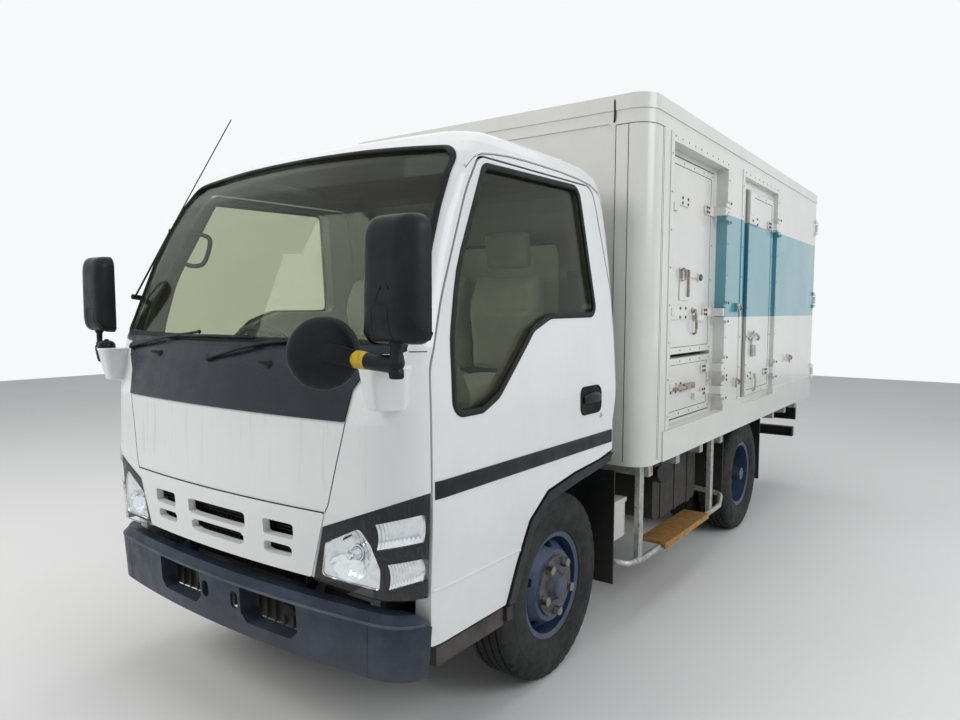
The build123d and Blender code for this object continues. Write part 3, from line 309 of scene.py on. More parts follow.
def glass(name, tint, rough=0.02):
    """Clear glass that lets light straight through, with a faint film of dirt."""
    f = Finish(name, rough=rough, spec=0.5)
    f.shader.inputs["Transmission Weight"].default_value = 1.0
    f.shader.inputs["IOR"].default_value = 1.05
    f.shader.inputs["Coat Weight"].default_value = 0.35
    f.shader.inputs["Coat Roughness"].default_value = 0.02
    f.colour(f.blotch(11.0, 6.0, 0.7, 0.35, 0.75, tint, shade(tint, 0.85), 0.12))
    return f.material


def chrome(name, colour, rough):
    f = Finish(name, rough=rough, metal=1.0)
    f.colour(f.blotch(40.0, 4.0, 0.6, 0.4, 0.75, colour, shade(colour, 0.86)))
    f.surface((60.0, 3.0, 0.6), rough, rough + 0.08, (150.0, 2.0, 0.5), 0.0002, 0.1)
    return f.material


THREADS = 2600.0


def cloth(name, colour, other):
    """Woven seat cloth: crossed threads, wear and a little sheen."""
    f = Finish(name, rough=0.9, spec=0.2, sheen=0.3)
    f.shader.inputs["Sheen Roughness"].default_value = 0.5
    warp = f.op("SINE", f.op("MULTIPLY", f.x, THREADS))
    weft = f.op("SINE", f.op("MULTIPLY", f.op("ADD", f.y, f.z), THREADS))
    threads = f.op("ADD", warp, weft)
    base = f.blotch(7.0, 5.0, 0.65, 0.35, 0.7, colour, other)
    f.colour(f.mix(f.ramp(threads, -2.0, 2.0, 0.0, 0.35), base, shade(colour, 0.6)))
    f.bump(f.op("ADD", threads, f.noise(90.0, 4.0, 0.6)), 0.0006, 0.35)
    return f.material


CAB_WHITE = white_paint("cab_white", (0.74, 0.755, 0.755), None, 0.35, True)
TEAL = (0.075, 0.29, 0.36)
BAND = ((1600 - MID) / 1000, (4075.5 - MID) / 1000, 1.452, 2.032)
BOX_WHITE = white_paint("box_white", (0.67, 0.67, 0.645), (BAND, TEAL, 0.8725), 0.5)
BOX_POSTS = white_paint("box_posts", (0.67, 0.67, 0.645), (BAND, TEAL, 0.922), 0.5)
BOX_PLAIN = white_paint("box_plain", (0.65, 0.65, 0.62), None, 0.5)
GARNISH = dark_plastic("garnish_dark", (0.018, 0.024, 0.031), (0.026, 0.033, 0.041), 0.28, 500.0,
                       0.2, 0.9, 0.2)
BUMPER = dark_plastic("bumper_faded", (0.014, 0.022, 0.040), (0.030, 0.043, 0.070), 0.42, 700.0,
                      0.2, 0.7, 0.16)
BUMPER_EDGE = dark_plastic("bumper_edge", (0.035, 0.048, 0.072), (0.075, 0.090, 0.120), 0.5)
BLACK = dark_plastic("black_plastic", (0.006, 0.0065, 0.008), (0.012, 0.013, 0.015), 0.36, 900.0,
                     0.15, 0.9, 0.12)
SEAL = dark_plastic("window_seal", (0.006, 0.006, 0.006), (0.013, 0.013, 0.013), 0.5, 600.0, 0.1, 0.6, 0.15)
UNDER = dark_plastic("underbody_black", (0.009, 0.009, 0.010), (0.014, 0.0135, 0.013), 0.55, 300.0,
                     0.1, 1.0, 0.14)
INSIDE = dark_plastic("inside_black", (0.016, 0.016, 0.016), (0.03, 0.03, 0.03), 0.7, 300.0, 0.1, 1.0, 0.4)
DASH = dark_plastic("dash_grain", (0.090, 0.090, 0.086), (0.13, 0.128, 0.122), 0.6, 1100.0, 0.1, 0.7, 0.2)
CAST = metal("cast_iron", (0.040, 0.038, 0.036), 0.55, 0.5, 0.1, 0.9, 0.3)
ZINC = metal("zinc_plate", (0.52, 0.52, 0.51), 0.38, 0.12, 0.1, 0.8, 0.3)
RUSTY = metal("rusty_plate", (0.46, 0.45, 0.43), 0.5, 0.75, 0.1, 0.8, 0.2)
STEEL = metal("step_steel", (0.50, 0.51, 0.50), 0.42, 0.25, 0.1, 0.9, 0.45)
TREAD = metal("tread_brown", (0.46, 0.26, 0.09), 0.55, 0.25, 0.1, 0.4, 0.3)
TYRE = rubber()
WHEEL_FRONT = wheel_paint("wheel_front_paint", 0.0, 0.7915)
WHEEL_REAR = wheel_paint("wheel_rear_paint", WHEELBASE, 0.6252)
CAB_GLASS = glass("cab_glass_tint", (0.60, 0.635, 0.52))
LENS = glass("lamp_lens_clear", (0.93, 0.95, 0.96))
BOLT = metal("bolt_grey", (0.17, 0.165, 0.16), 0.5, 0.45, 0.1, 0.8, 0.2)
# Dark for seams and joints, and also painted shade: the shadow line under each roof gutter and the deep gap
# on the middle leaf
SEAMS_AND_SHADE = dark_plastic("seam_and_shade_dark", (0.012, 0.012, 0.012), (0.03, 0.03, 0.028), 0.8, 600.0, 0.1, 0.6, 0.2)


def rear_lens(rear_face):
    """Red lens on the rear face of a black lamp body."""
    f = Finish("lens_red", rough=0.2, spec=0.4)
    red = f.blotch(20.0, 5.0, 0.6, 0.3, 0.7, (0.36, 0.012, 0.010), (0.27, 0.010, 0.008))
    f.colour(f.mix(f.ramp(f.y, rear_face - 0.014, rear_face - 0.012), (0.010, 0.010, 0.011), red))
    ridges = f.op("SINE", f.op("MULTIPLY", f.x, 700.0))
    f.bump(ridges, 0.0006, 0.3)
    return f.material


RED_LENS = rear_lens(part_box("rear_lamps")[1][1])
CHROME = chrome("lamp_chrome", (0.86, 0.87, 0.88), 0.05)
MIRROR = chrome("mirror_face", (0.80, 0.82, 0.83), 0.02)
CLOTH = cloth("seat_weave", (0.30, 0.30, 0.285), (0.37, 0.37, 0.35))

NODE_MATERIALS = {
    CAB_WHITE: "cab_front cab_upper grille_panel cab_door_left cab_door_right",
    BOX_WHITE: "box_side_left box_side_right side_door_upper side_door_lower side_door_middle",
    BOX_POSTS: "box_rear_frame",
    BOX_PLAIN: "box_front_wall box_roof rear_door_left rear_door_right battery_box",
    GARNISH: "front_garnish",
    BUMPER: "front_bumper",
    BLACK: "mirrors wipers antenna arch_flares mudguards steering_wheel headlamps",
    UNDER: "chassis_frame prop_shaft fuel_tank rear_bumper",
    INSIDE: "cab_floor",
    DASH: "dashboard",
    CAST: "engine_block front_axle rear_axle exhaust knuckle_left knuckle_right tie_rod",
    STEEL: "side_step box_floor",
    TREAD: "step_tread",
    TYRE: "tyre_front_left tyre_front_right tyres_rear_left tyres_rear_right",
    WHEEL_FRONT: "wheel_front_left wheel_front_right",
    WHEEL_REAR: "wheels_rear_left wheels_rear_right",
    CAB_GLASS: "cab_glass door_glass_left door_glass_right",
    LENS: "headlamp_lenses",
    RED_LENS: "rear_lamps",
    CLOTH: "seats",
}
for material, nodes in NODE_MATERIALS.items():
    for node in nodes.split():
        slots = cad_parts[node].data.materials
        if len(slots):
            for i in range(len(slots)):
                slots[i] = material
        else:
            slots.append(material)


# Mesh helpers
def piece(name, verts, faces, material, body, sharp=35):
    """A new object from points in metres, riding on a body."""
    mesh = bpy.data.meshes.new(name)
    mesh.from_pydata([tuple(v) for v in verts], [], faces)
    work = bmesh.new()
    work.from_mesh(mesh)
    bmesh.ops.remove_doubles(work, verts=work.verts, dist=1e-6)
    bmesh.ops.recalc_face_normals(work, faces=work.faces)
    work.to_mesh(mesh)
    work.free()
    mesh.materials.append(material)
    mesh.polygons.foreach_set("use_smooth", [True] * len(mesh.polygons))
    mesh.set_sharp_from_angle(angle=math.radians(sharp))
    obj = bpy.data.objects.new(name, mesh)
    bpy.context.scene.collection.objects.link(obj)
    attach(obj, body)
    return obj


class Shape:
    """Points and faces gathered for one piece, in drawing millimetres."""

    def __init__(self):
        self.verts, self.faces = [], []

    def add(self, verts, faces):
        first = len(self.verts)
        self.verts += [Vector(v) for v in verts]
        self.faces += [tuple(first + i for i in face) for face in faces]

    def grid(self, rows, close_u=False, close_v=False, caps=False):
        """Faces between rows of points; close_u joins the last row to the first, close_v each row's ends."""
        n, m = len(rows), len(rows[0])
        faces = []
        for i in range(n if close_u else n - 1):
            for j in range(m if close_v else m - 1):
                a, b = i * m + j, i * m + (j + 1) % m
                c, d = ((i + 1) % n) * m + (j + 1) % m, ((i + 1) % n) * m + j
                faces.append((a, b, c, d))
        if caps:
            faces.append(tuple(range(m)))
            faces.append(tuple((n - 1) * m + j for j in reversed(range(m))))
        self.add([v for row in rows for v in row], faces)

    def block(self, x, y, z, bevel=2.0):
        """A bevelled block between two values on each axis."""
        work = bmesh.new()
        bmesh.ops.create_cube(work, size=1.0)
        size = Vector((x[1] - x[0], y[1] - y[0], z[1] - z[0]))
        middle = Vector((x[1] + x[0], y[1] + y[0], z[1] + z[0])) / 2
        for v in work.verts:
            v.co = Vector([c * s for c, s in zip(v.co, size)]) + middle
        bevel = min(bevel, min(abs(s) for s in size) * 0.45)
        if bevel > 0:
            bmesh.ops.bevel(work, geom=work.edges[:], offset=bevel, segments=2, profile=0.7, affect="EDGES")
        work.verts.ensure_lookup_table()
        self.add([v.co.copy() for v in work.verts], [[v.index for v in f.verts] for f in work.faces])
        work.free()

    def disc(self, centre, axis, profile, sides=12):
        """Turn a profile of (along, radius) about an axis; radius 0 closes an end."""
        axis = Vector(axis).normalized()
        u = axis.orthogonal().normalized()
        v = axis.cross(u)
        rows = [[Vector(centre) + axis * along + (u * c + v * s) * max(radius, 0.01) for c, s in ring(sides)]
                for along, radius in profile]
        self.grid(rows, close_v=True, caps=True)

    def tube(self, points, radius, sides=10, closed=False):
        """A round bar through points; radius may be one number or one for each point."""
        points = [Vector(p) for p in points]
        n = len(points)
        radii = radius if hasattr(radius, "__len__") else [radius] * n
        rows, up = [], None
        for i, p in enumerate(points):
            before = points[i - 1] if closed or i else points[i]
            after = points[(i + 1) % n] if closed or i < n - 1 else points[i]
            t = (after - before).normalized()
            up = t.orthogonal().normalized() if up is None else (up - t * up.dot(t)).normalized()
            side = t.cross(up)
            rows.append([p + (up * c + side * s) * radii[i] for c, s in ring(sides)])
        self.grid(rows, close_u=closed, close_v=True, caps=not closed)

    def sweep(self, points, normals, profile, closed=False):
        """Push a profile of (sideways, outwards) along points that lie on a surface."""
        points = [Vector(p) for p in points]
        n = len(points)
        rows = []
        for i, p in enumerate(points):
            before = points[i - 1] if closed or i else points[i]
            after = points[(i + 1) % n] if closed or i < n - 1 else points[i]
            t = (after - before).normalized()
            side = t.cross(normals[i]).normalized()
            out = side.cross(t).normalized()
            rows.append([p + side * a + out * b for a, b in profile])
        self.grid(rows, close_u=closed, close_v=True, caps=not closed)

    def follow(self, pairs, profile, closed=False):
        """Sweep a profile along (point, normal) pairs."""
        points, normals = zip(*pairs)
        self.sweep(points, normals, profile, closed)

    def seam(self, pairs, width=3.2, proud=0.5, sunk=-1.5):
        """A thin flat line along (point, normal) pairs."""
        half = width / 2
        self.follow(pairs, [(-half, sunk), (-half, proud), (half, proud), (half, sunk)])

    def make(self, name, material, body, slot, sharp=35):
        return piece(name, [at(*v) for v in self.verts], self.faces, material, body, sharp)


def trim(name, pairs, profile, material, body, slot, closed=False):
    """A piece of one profile along (point, normal) pairs."""
    shape = Shape()
    shape.follow(pairs, profile, closed)
    return shape.make(name, material, body, slot)


def spread(start, end, count):
    """Evenly spaced numbers or points from start to end, both included."""
    return [start + (end - start) * k / count for k in range(count + 1)]


def ring(sides):
    """Cosine and sine of evenly spaced angles."""
    angles = (2 * math.pi * k / sides for k in range(sides))
    return [(math.cos(a), math.sin(a)) for a in angles]


def power(value, exponent):
    """A power that keeps the sign, for rings that are rounder or squarer than an ellipse."""
    return math.copysign(abs(value) ** exponent, value)


def curve_through(points, parts=6):
    """A smooth curve through points."""
    points = [Vector(p) for p in points]
    out = []
    for i in range(len(points) - 1):
        p0, p1, p2, p3 = (points[max(0, min(len(points) - 1, j))] for j in range(i - 1, i + 3))
        for k in range(parts):
            t = k / parts
            out.append(0.5 * ((2 * p1) + (p2 - p0) * t + (2 * p0 - 5 * p1 + 4 * p2 - p3) * t * t
                              + (3 * p1 - p0 - 3 * p2 + p3) * t**3))
    out.append(points[-1])
    return out


def rounded(points, fine=5):
    """A closed outline of (u, v, corner radius) as a run of points."""
    out = []
    count = len(points)
    for i, p in enumerate(points):
        a, b, c = Vector(points[i - 1][:2]), Vector(p[:2]), Vector(points[(i + 1) % count][:2])
        radius = p[2] if len(p) > 2 else 0
        u, v = (a - b).normalized(), (c - b).normalized()
        angle = math.acos(max(-1, min(1, u.dot(v))))
        if radius < 0.5 or angle > 3.12:
            out.append(b)
            continue
        cut = radius / math.tan(angle / 2)
        centre = b + (u + v).normalized() * (radius / math.sin(angle / 2))
        start, end = b + u * cut - centre, b + v * cut - centre
        a0, a1 = math.atan2(start.y, start.x), math.atan2(end.y, end.x)
        turn_by = (a1 - a0 + math.pi) % (2 * math.pi) - math.pi
        steps = max(2, round(abs(turn_by) / math.radians(90) * fine) + 1)
        for k in range(steps + 1):
            angle_at = a0 + turn_by * k / steps
            out.append(centre + Vector((math.cos(angle_at), math.sin(angle_at))) * radius)
    return out


def dense(points, step=25.0, closed=True):
    """More points on long straight stretches."""
    out = []
    last = len(points) if closed else len(points) - 1
    for i in range(last):
        a, b = points[i], points[(i + 1) % len(points)]
        parts = max(1, math.ceil((b - a).length / step))
        out += [a.lerp(b, k / parts) for k in range(parts)]
    if not closed:
        out.append(points[-1])
    return out


def section(z):
    z = max(SKIN[0][0], min(SKIN[-1][0], z))
    for a, b in zip(SKIN, SKIN[1:]):
        if z <= b[0]:
            break
    t = (z - a[0]) / (b[0] - a[0])
    return [p + (q - p) * t for p, q in zip(a[1:], b[1:])]


def front_corner(half, front, r_front):
    """Centre of the front corner's arc and where it leaves the bowed front."""
    cx = start = half - r_front
    for _ in range(4):
        start = cx + r_front * math.sin(math.atan(start / BOW))
    return cx, front + start * start / (2 * BOW) + r_front * math.cos(math.atan(start / BOW)), start


def skin_y(x, z):
    """Y of the cab's front at (x, z)."""
    half, front, rear, r_front, r_rear = section(z)
    x = min(abs(x), half)
    cx, cy, start = front_corner(half, front, r_front)
    if x > start:
        return cy - math.sqrt(max(r_front**2 - (x - cx) ** 2, 0))
    return front + x * x / (2 * BOW)


def skin_x(y, z):
    """X of the cab's side at (y, z)."""
    half, front, rear, r_front, r_rear = section(z)
    cy = front_corner(half, front, r_front)[1]
    if y < cy:
        return half - r_front + math.sqrt(max(r_front**2 - (cy - y) ** 2, 0))
    cy = rear - r_rear
    if y > cy:
        return half - r_rear + math.sqrt(max(r_rear**2 - (y - cy) ** 2, 0))
    return half


def front_point(x, z):
    """Point and outward normal on the front skin."""
    d = 1.0
    fx = (skin_y(x + d, z) - skin_y(x - d, z)) / (2 * d)
    fz = (skin_y(x, z + d) - skin_y(x, z - d)) / (2 * d)
    return Vector((x, skin_y(x, z), z)), Vector((fx, -1, fz)).normalized()


def side_point(y, z, side):
    """Point and outward normal on the skin's side; side is 1 for the left and -1 for the right."""
    d = 1.0
    gy = (skin_x(y + d, z) - skin_x(y - d, z)) / (2 * d)
    gz = (skin_x(y, z + d) - skin_x(y, z - d)) / (2 * d)
    return Vector((side * skin_x(y, z), y, z)), Vector((side, -gy, -gz)).normalized()


SLOPE = Vector((0, 0.4814, 0.8765))
LEAN = Vector((0, -0.8765, 0.4814))


def screen_point(x, s):
    """Point and normal on the skin over the windscreen's plane, at x and s up the slope."""
    start = Vector((0, -955, 1376)) + Vector((x, 0, 0)) + SLOPE * s
    t = 0.0
    for _ in range(12):
        p = start + LEAN * t
        t += (p.y - skin_y(x, p.z)) * 0.8
    return front_point(x, (start + LEAN * t).z)


def arc(a, middle, b, count):
    """Points on a shallow arc, as a parabola through its middle height."""
    line = spread(Vector(a), Vector(b), count)
    lift = middle - (a[1] + b[1]) / 2
    return [p + Vector((0, lift * 4 * t * (1 - t))) for p, t in zip(line, spread(0, 1, count))]


def screen_outline(grow):
    """The windscreen's outline, made larger by a step, in its own plane."""
    foot, foot_side, foot_mid = 800 + grow, 44 - grow, 8 - grow
    head, head_side, head_mid = 726 + grow, 747 + grow, 769 + grow
    bottom = arc((-foot, foot_side), foot_mid, (foot, foot_side), 24)
    top = arc((head, head_side), head_mid, (-head, head_side), 24)
    corners = [(*bottom[0], 70 + grow)] + [(*p, 0) for p in bottom[3:-3]] + [(*bottom[-1], 70 + grow)]
    corners += [(*top[0], 70 + grow)] + [(*p, 0) for p in top[3:-3]] + [(*top[-1], 70 + grow)]
    return dense(rounded(corners, 6), 30)


WINDOW = [
    (-735, 1162, 45), (-732, 1396, 300), (-678, 1611, 600), (-489, 1970, 40), (172, 1986, 45),
    (254, 1470, 40), (-120, 1466, 110), (-250, 1420, 60), (-495, 1200, 90), (-590, 1162, 40),
]

# Windscreen rubber
RUBBER = [(-12, -7), (-12, 2), (-9, 4.5), (-2, 5.5), (4, 5), (9, 3), (10, -2), (10, -7)]
trim("windscreen_rubber", [screen_point(p.x, p.y) for p in screen_outline(3)], RUBBER, SEAL, "cab",
     "black_plastic", closed=True)

# Side window rubbers and rear window rubber
SIDES = ((1, "left"), (-1, "right"))
for side, name in SIDES:
    pairs = [side_point(p.x, p.y, side) for p in dense(rounded(WINDOW, 6), 30)]
    trim(f"door_window_rubber_{name}", pairs, RUBBER, SEAL, f"door_{name}", "black_plastic", closed=True)
REAR_WINDOW = [(-560, 1420, 60), (560, 1420, 60), (560, 1800, 60), (-560, 1800, 60)]
outline = dense(rounded(REAR_WINDOW, 6), 40)
pairs = [(Vector((p.x, section(p.y)[2], p.y)), Vector((0, 1, 0.01))) for p in outline]
trim("rear_window_rubber", pairs, RUBBER, SEAL, "cab", "black_plastic", closed=True)

# Dark cowl below the screen, from the garnish up to the rubber
shape = Shape()
rows = []
for k, x in enumerate(spread(-796, 796, 64)):
    reach = abs(x)
    low = 1350 if reach < 700 else 1350 + 6 * (reach - 700) / 96
    high = 1381 + 24 * (x / 800) ** 2
    if reach > 740:
        high -= 22 * ((reach - 740) / 56) ** 2
    row = []
    for j, z in enumerate(spread(low, high, 4)):
        p, n = front_point(x, z)
        row.append(p + n * (3.5 if 0 < j < 4 and 0 < k < 64 else -1.0))
    rows.append(row)
shape.grid(rows)
shape.make("cowl_panel", GARNISH, "cab", "black_plastic", sharp=60)


def corner_run(z, x_from, y_to, side, steps=14):
    """Points and normals along the cab's corner at one height, from the front to the side."""
    half, front, rear, r_front, r_rear = section(z)
    cy = front_corner(half, front, r_front)[1]
    out = [front_point(x_from, z)]
    for k in range(steps + 1):
        a = math.radians(-90 + 90 * k / steps)
        x, y = half - r_front + r_front * math.cos(a), cy + r_front * math.sin(a)
        if x > x_from + 3 and y < y_to:
            out.append((Vector((x, y, z)), Vector((math.cos(a), math.sin(a), 0.05)).normalized()))
    out.append(side_point(y_to, z, 1))
    return [(Vector((side * p.x, p.y, p.z)), Vector((side * n.x, n.y, n.z))) for p, n in out]


# Seams of the service lid and below the screen
LID_EDGE = [(613, 1150), (604, 1110), (580, 1017), (549, 885), (537, 862)]
shape = Shape()
for side in (1, -1):
    lid = dense([Vector((side * x, z)) for x, z in LID_EDGE], 20, False)
    shape.seam([front_point(p.x, p.y) for p in lid])
    shape.seam(corner_run(1363, 790, -846, side), 3.0)
shape.seam([front_point(x, 860) for x in spread(-534, 534, 40)], 3.0, 3.4)
shape.make("lid_seams", SEAMS_AND_SHADE, "cab", "dark_panel")

# Roof gutters above the doors
GUTTER = [(-590, 1955), (-545, 1996), (-499, 2014), (-420, 2025), (-323, 2034), (-210, 2038), (-112, 2039),
          (60, 2038), (190, 2032), (290, 2020), (360, 1996), (392, 1960)]
for side, name in SIDES:
    trim(f"roof_gutter_{name}", [side_point(y, z, side) for y, z in GUTTER],
         [(-5, -2), (-5, 3), (-2, 5), (3, 5), (5, 2), (5, -2)], CAB_WHITE, "cab", "white_paint")
    shape = Shape()
    shape.seam([side_point(y, z - 7, side) for y, z in GUTTER], 2.4)
    shape.make(f"gutter_shadow_{name}", SEAMS_AND_SHADE, "cab", "black_plastic")


def door_point(side, y, z, out):
    """A point over the cab's side, a height above its skin."""
    p, n = side_point(y, z, side)
    return p + n * out


# Door trim: rub strip, crease, handle and lock
RUB_STRIP = [(-27.5, -1), (-27.5, 2.5), (-24, 4.2), (24, 4.2), (27.5, 2.5), (27.5, -1)]
CREASE = [(-8, -1), (-4, 1.6), (0, 2.6), (4, 1.6), (8, -1)]
BEZEL_STEPS = ((1.02, -1.0), (1.0, 3.5), (0.97, 6.0), (0.93, 5.5), (0.90, 1.8), (0.6, 1.0), (0.03, 1.0))
BEZEL = [(89, 1060, 34), (270, 1060, 34), (270, 1176, 34), (89, 1176, 34)]
for side, name in SIDES:
    body = f"door_{name}"
    strip = [side_point(y, 942.3, side) for y in spread(-830, 374, 60)]
    trim(f"rub_strip_{name}", strip, RUB_STRIP, BLACK, body, "black_plastic")
    crease = [side_point(y, 630, side) for y in spread(-832, -349, 23)]
    trim(f"door_crease_{name}", crease, CREASE, CAB_WHITE, body, "white_paint")
    shape = Shape()
    frame_line = dense(rounded(BEZEL, 6), 12)
    middle = Vector((179.5, 1118))
    rows = []
    for inward, out in BEZEL_STEPS:
        rows.append([door_point(side, *(middle + (p - middle) * inward), out) for p in frame_line])
    shape.grid(rows, close_v=True)
    shape.make(f"handle_bezel_{name}", SEAMS_AND_SHADE, body, "black_plastic")
    shape = Shape()
    rows = []
    for t in spread(0, 1, 14):
        y = 104 + 150 * t
        lift = 20 * math.sin(math.pi * min(1, 0.12 + t * 0.80)) ** 0.6
        z_mid, high = 1124 + 6 * math.sin(math.pi * t), 21 - 5 * abs(2 * t - 1) ** 3
        rows.append([door_point(side, y, z_mid + high * c, lift + 5 * s - 2) for c, s in ring(12)])
    shape.grid(rows, close_v=True, caps=True)
    shape.make(f"handle_grip_{name}", BLACK, body, "black_plastic")
    shape = Shape()
    p, n = side_point(272, 1044, side)
    shape.disc(p, n, [(-1, 11), (2, 11), (3, 9.5), (3, 7), (1.6, 6.5), (1.6, 0)], 20)
    shape.make(f"door_lock_{name}", ZINC, body, "galvanised")

# Grille: dark slats and a backing behind the openings
OPENINGS = [(-160, 160, 752, 796), (-148, 148, 689, 724), (261, 395, 752, 797), (259, 384, 690, 722),
            (-395, -261, 752, 797), (-384, -259, 690, 722)]
shape = Shape()
for x0, x1, z0, z1 in OPENINGS:
    for z in spread(z0, z1, 4)[1:-1]:
        y = min(skin_y(x0, z), skin_y(x1, z)) + 36
        shape.block((x0 - 8, x1 + 8), (y, y + 16), (z - 1.6, z + 1.6), 0.8)
    for x in spread(x0, x1, max(2, round((x1 - x0) / 26))):
        y = skin_y(x, z0) + 44
        shape.block((x - 1.5, x + 1.5), (y, y + 14), (z0 - 8, z1 + 8), 0.8)
shape.make("grille_slats", BLACK, "cab", "black_plastic")
shape = Shape()
shape.grid([[Vector((x, skin_y(x, 740) + 66, z)) for x in range(-450, 451, 50)]
            for z in (660, 700, 760, 840)])
shape.make("grille_backing", SEAMS_AND_SHADE, "cab", "black_plastic")

# Headlamps behind the lens: bowl, bulb cap, bulb ring and ribbed cells
MAIN_CELL = [(501, 651, 12), (524, 760, 14), (663, 829, 20), (701, 783, 30), (729, 707, 40), (723, 642, 14)]
SIDE_CELLS = [[(711, 847, 8), (832, 878, 8), (826, 790, 8), (712, 764, 8)],
              [(742, 725, 8), (830, 741, 8), (828, 672, 8), (742, 642, 8)]]
LAMP_MIDDLE = Vector((618, 735))
BOWL_RADIUS = 116.5
RINGS = [1.0, 0.9, 0.75, 0.6, 0.45, 0.3, 0.15, 0.02]
bowls, ribs, caps, bulbs = Shape(), Shape(), Shape(), Shape()
for side in (1, -1):
    cell = dense(rounded(MAIN_CELL, 4), 8)
    rows = []
    for scale in RINGS:
        row = []
        for point in cell:
            p = LAMP_MIDDLE + (point - LAMP_MIDDLE) * 0.985 * scale
            r = (p - LAMP_MIDDLE).length
            depth = math.sqrt(max(BOWL_RADIUS**2 - r * r, 0)) - 3
            flute = 1.6 * abs(math.sin(p.x * 0.11)) * min(1, r / 50)
            y = max(-1040 + depth - flute, skin_y(p.x, p.y) + 10)
            row.append(Vector((side * p.x, y, p.y)))
        rows.append(row)
    rim = [Vector((side * p.x, skin_y(p.x, p.y) + 7, p.y)) for p in cell]
    bowls.grid([rim] + rows, close_v=True)
    axis = Vector((0, -1, 0))
    caps.disc((side * 618, -926, 735), axis, [(0, 20), (10, 20), (14, 17), (40, 15), (46, 11), (48, 0)], 24)
    bulbs.disc((side * 618, -932, 735), axis, [(0, 26), (3, 26), (3, 22), (0, 22)], 24)
    for cell in SIDE_CELLS:
        x0, x1 = min(p[0] for p in cell) + 2, max(p[0] for p in cell) - 2
        rows = []
        for v in spread(0, 1, 10):
            row = []
            for u in spread(0, 1, 72):
                low = cell[-1][1] + (cell[-2][1] - cell[-1][1]) * u + 2
                high = cell[0][1] + (cell[1][1] - cell[0][1]) * u - 2
                if low > high:
                    low, high = high, low
                x, z = x0 + (x1 - x0) * u, low + (high - low) * v
                ridge = 2.4 * abs(math.sin(math.pi * u * 12))
                dome = 10 * (2 * v - 1) ** 2 + 8 * (2 * u - 1) ** 2
                row.append(Vector((side * x, min(skin_y(x, z), -846 - 36) + 30 - ridge - dome, z)))
            rows.append(row)
        ribs.grid(rows)
bowls.make("lamp_bowls", CHROME, "cab", "lamp_reflector", sharp=50)
ribs.make("lamp_ribs", CHROME, "cab", "lamp_reflector", sharp=70)
caps.make("lamp_caps", CHROME, "cab", "lamp_reflector")
bulbs.make("lamp_rings", CHROME, "cab", "lamp_reflector")


def housing_depth(p, s):
    """How far a mirror's housing stands forward of its rim, at a place and a ring's scale in its outline."""
    full = 75 * (1 - s**7) ** (1 / 3.2)
    slope = max(0.0, (p.x / 90 - 0.30) / 0.70)
    return full * (1 - 0.42 * slope * slope)


def even(points, number):
    """The same closed outline as a set number of points, evenly spaced from its first."""
    lengths = [0.0]
    for a, b in zip(points, points[1:] + points[:1]):
        lengths.append(lengths[-1] + (b - a).length)
    out, i = [], 0
    for k in range(number):
        want = lengths[-1] * k / number
        while lengths[i + 1] < want:
            i += 1
        t = (want - lengths[i]) / max(lengths[i + 1] - lengths[i], 1e-6)
        out.append(points[i].lerp(points[(i + 1) % len(points)], t))
    return out


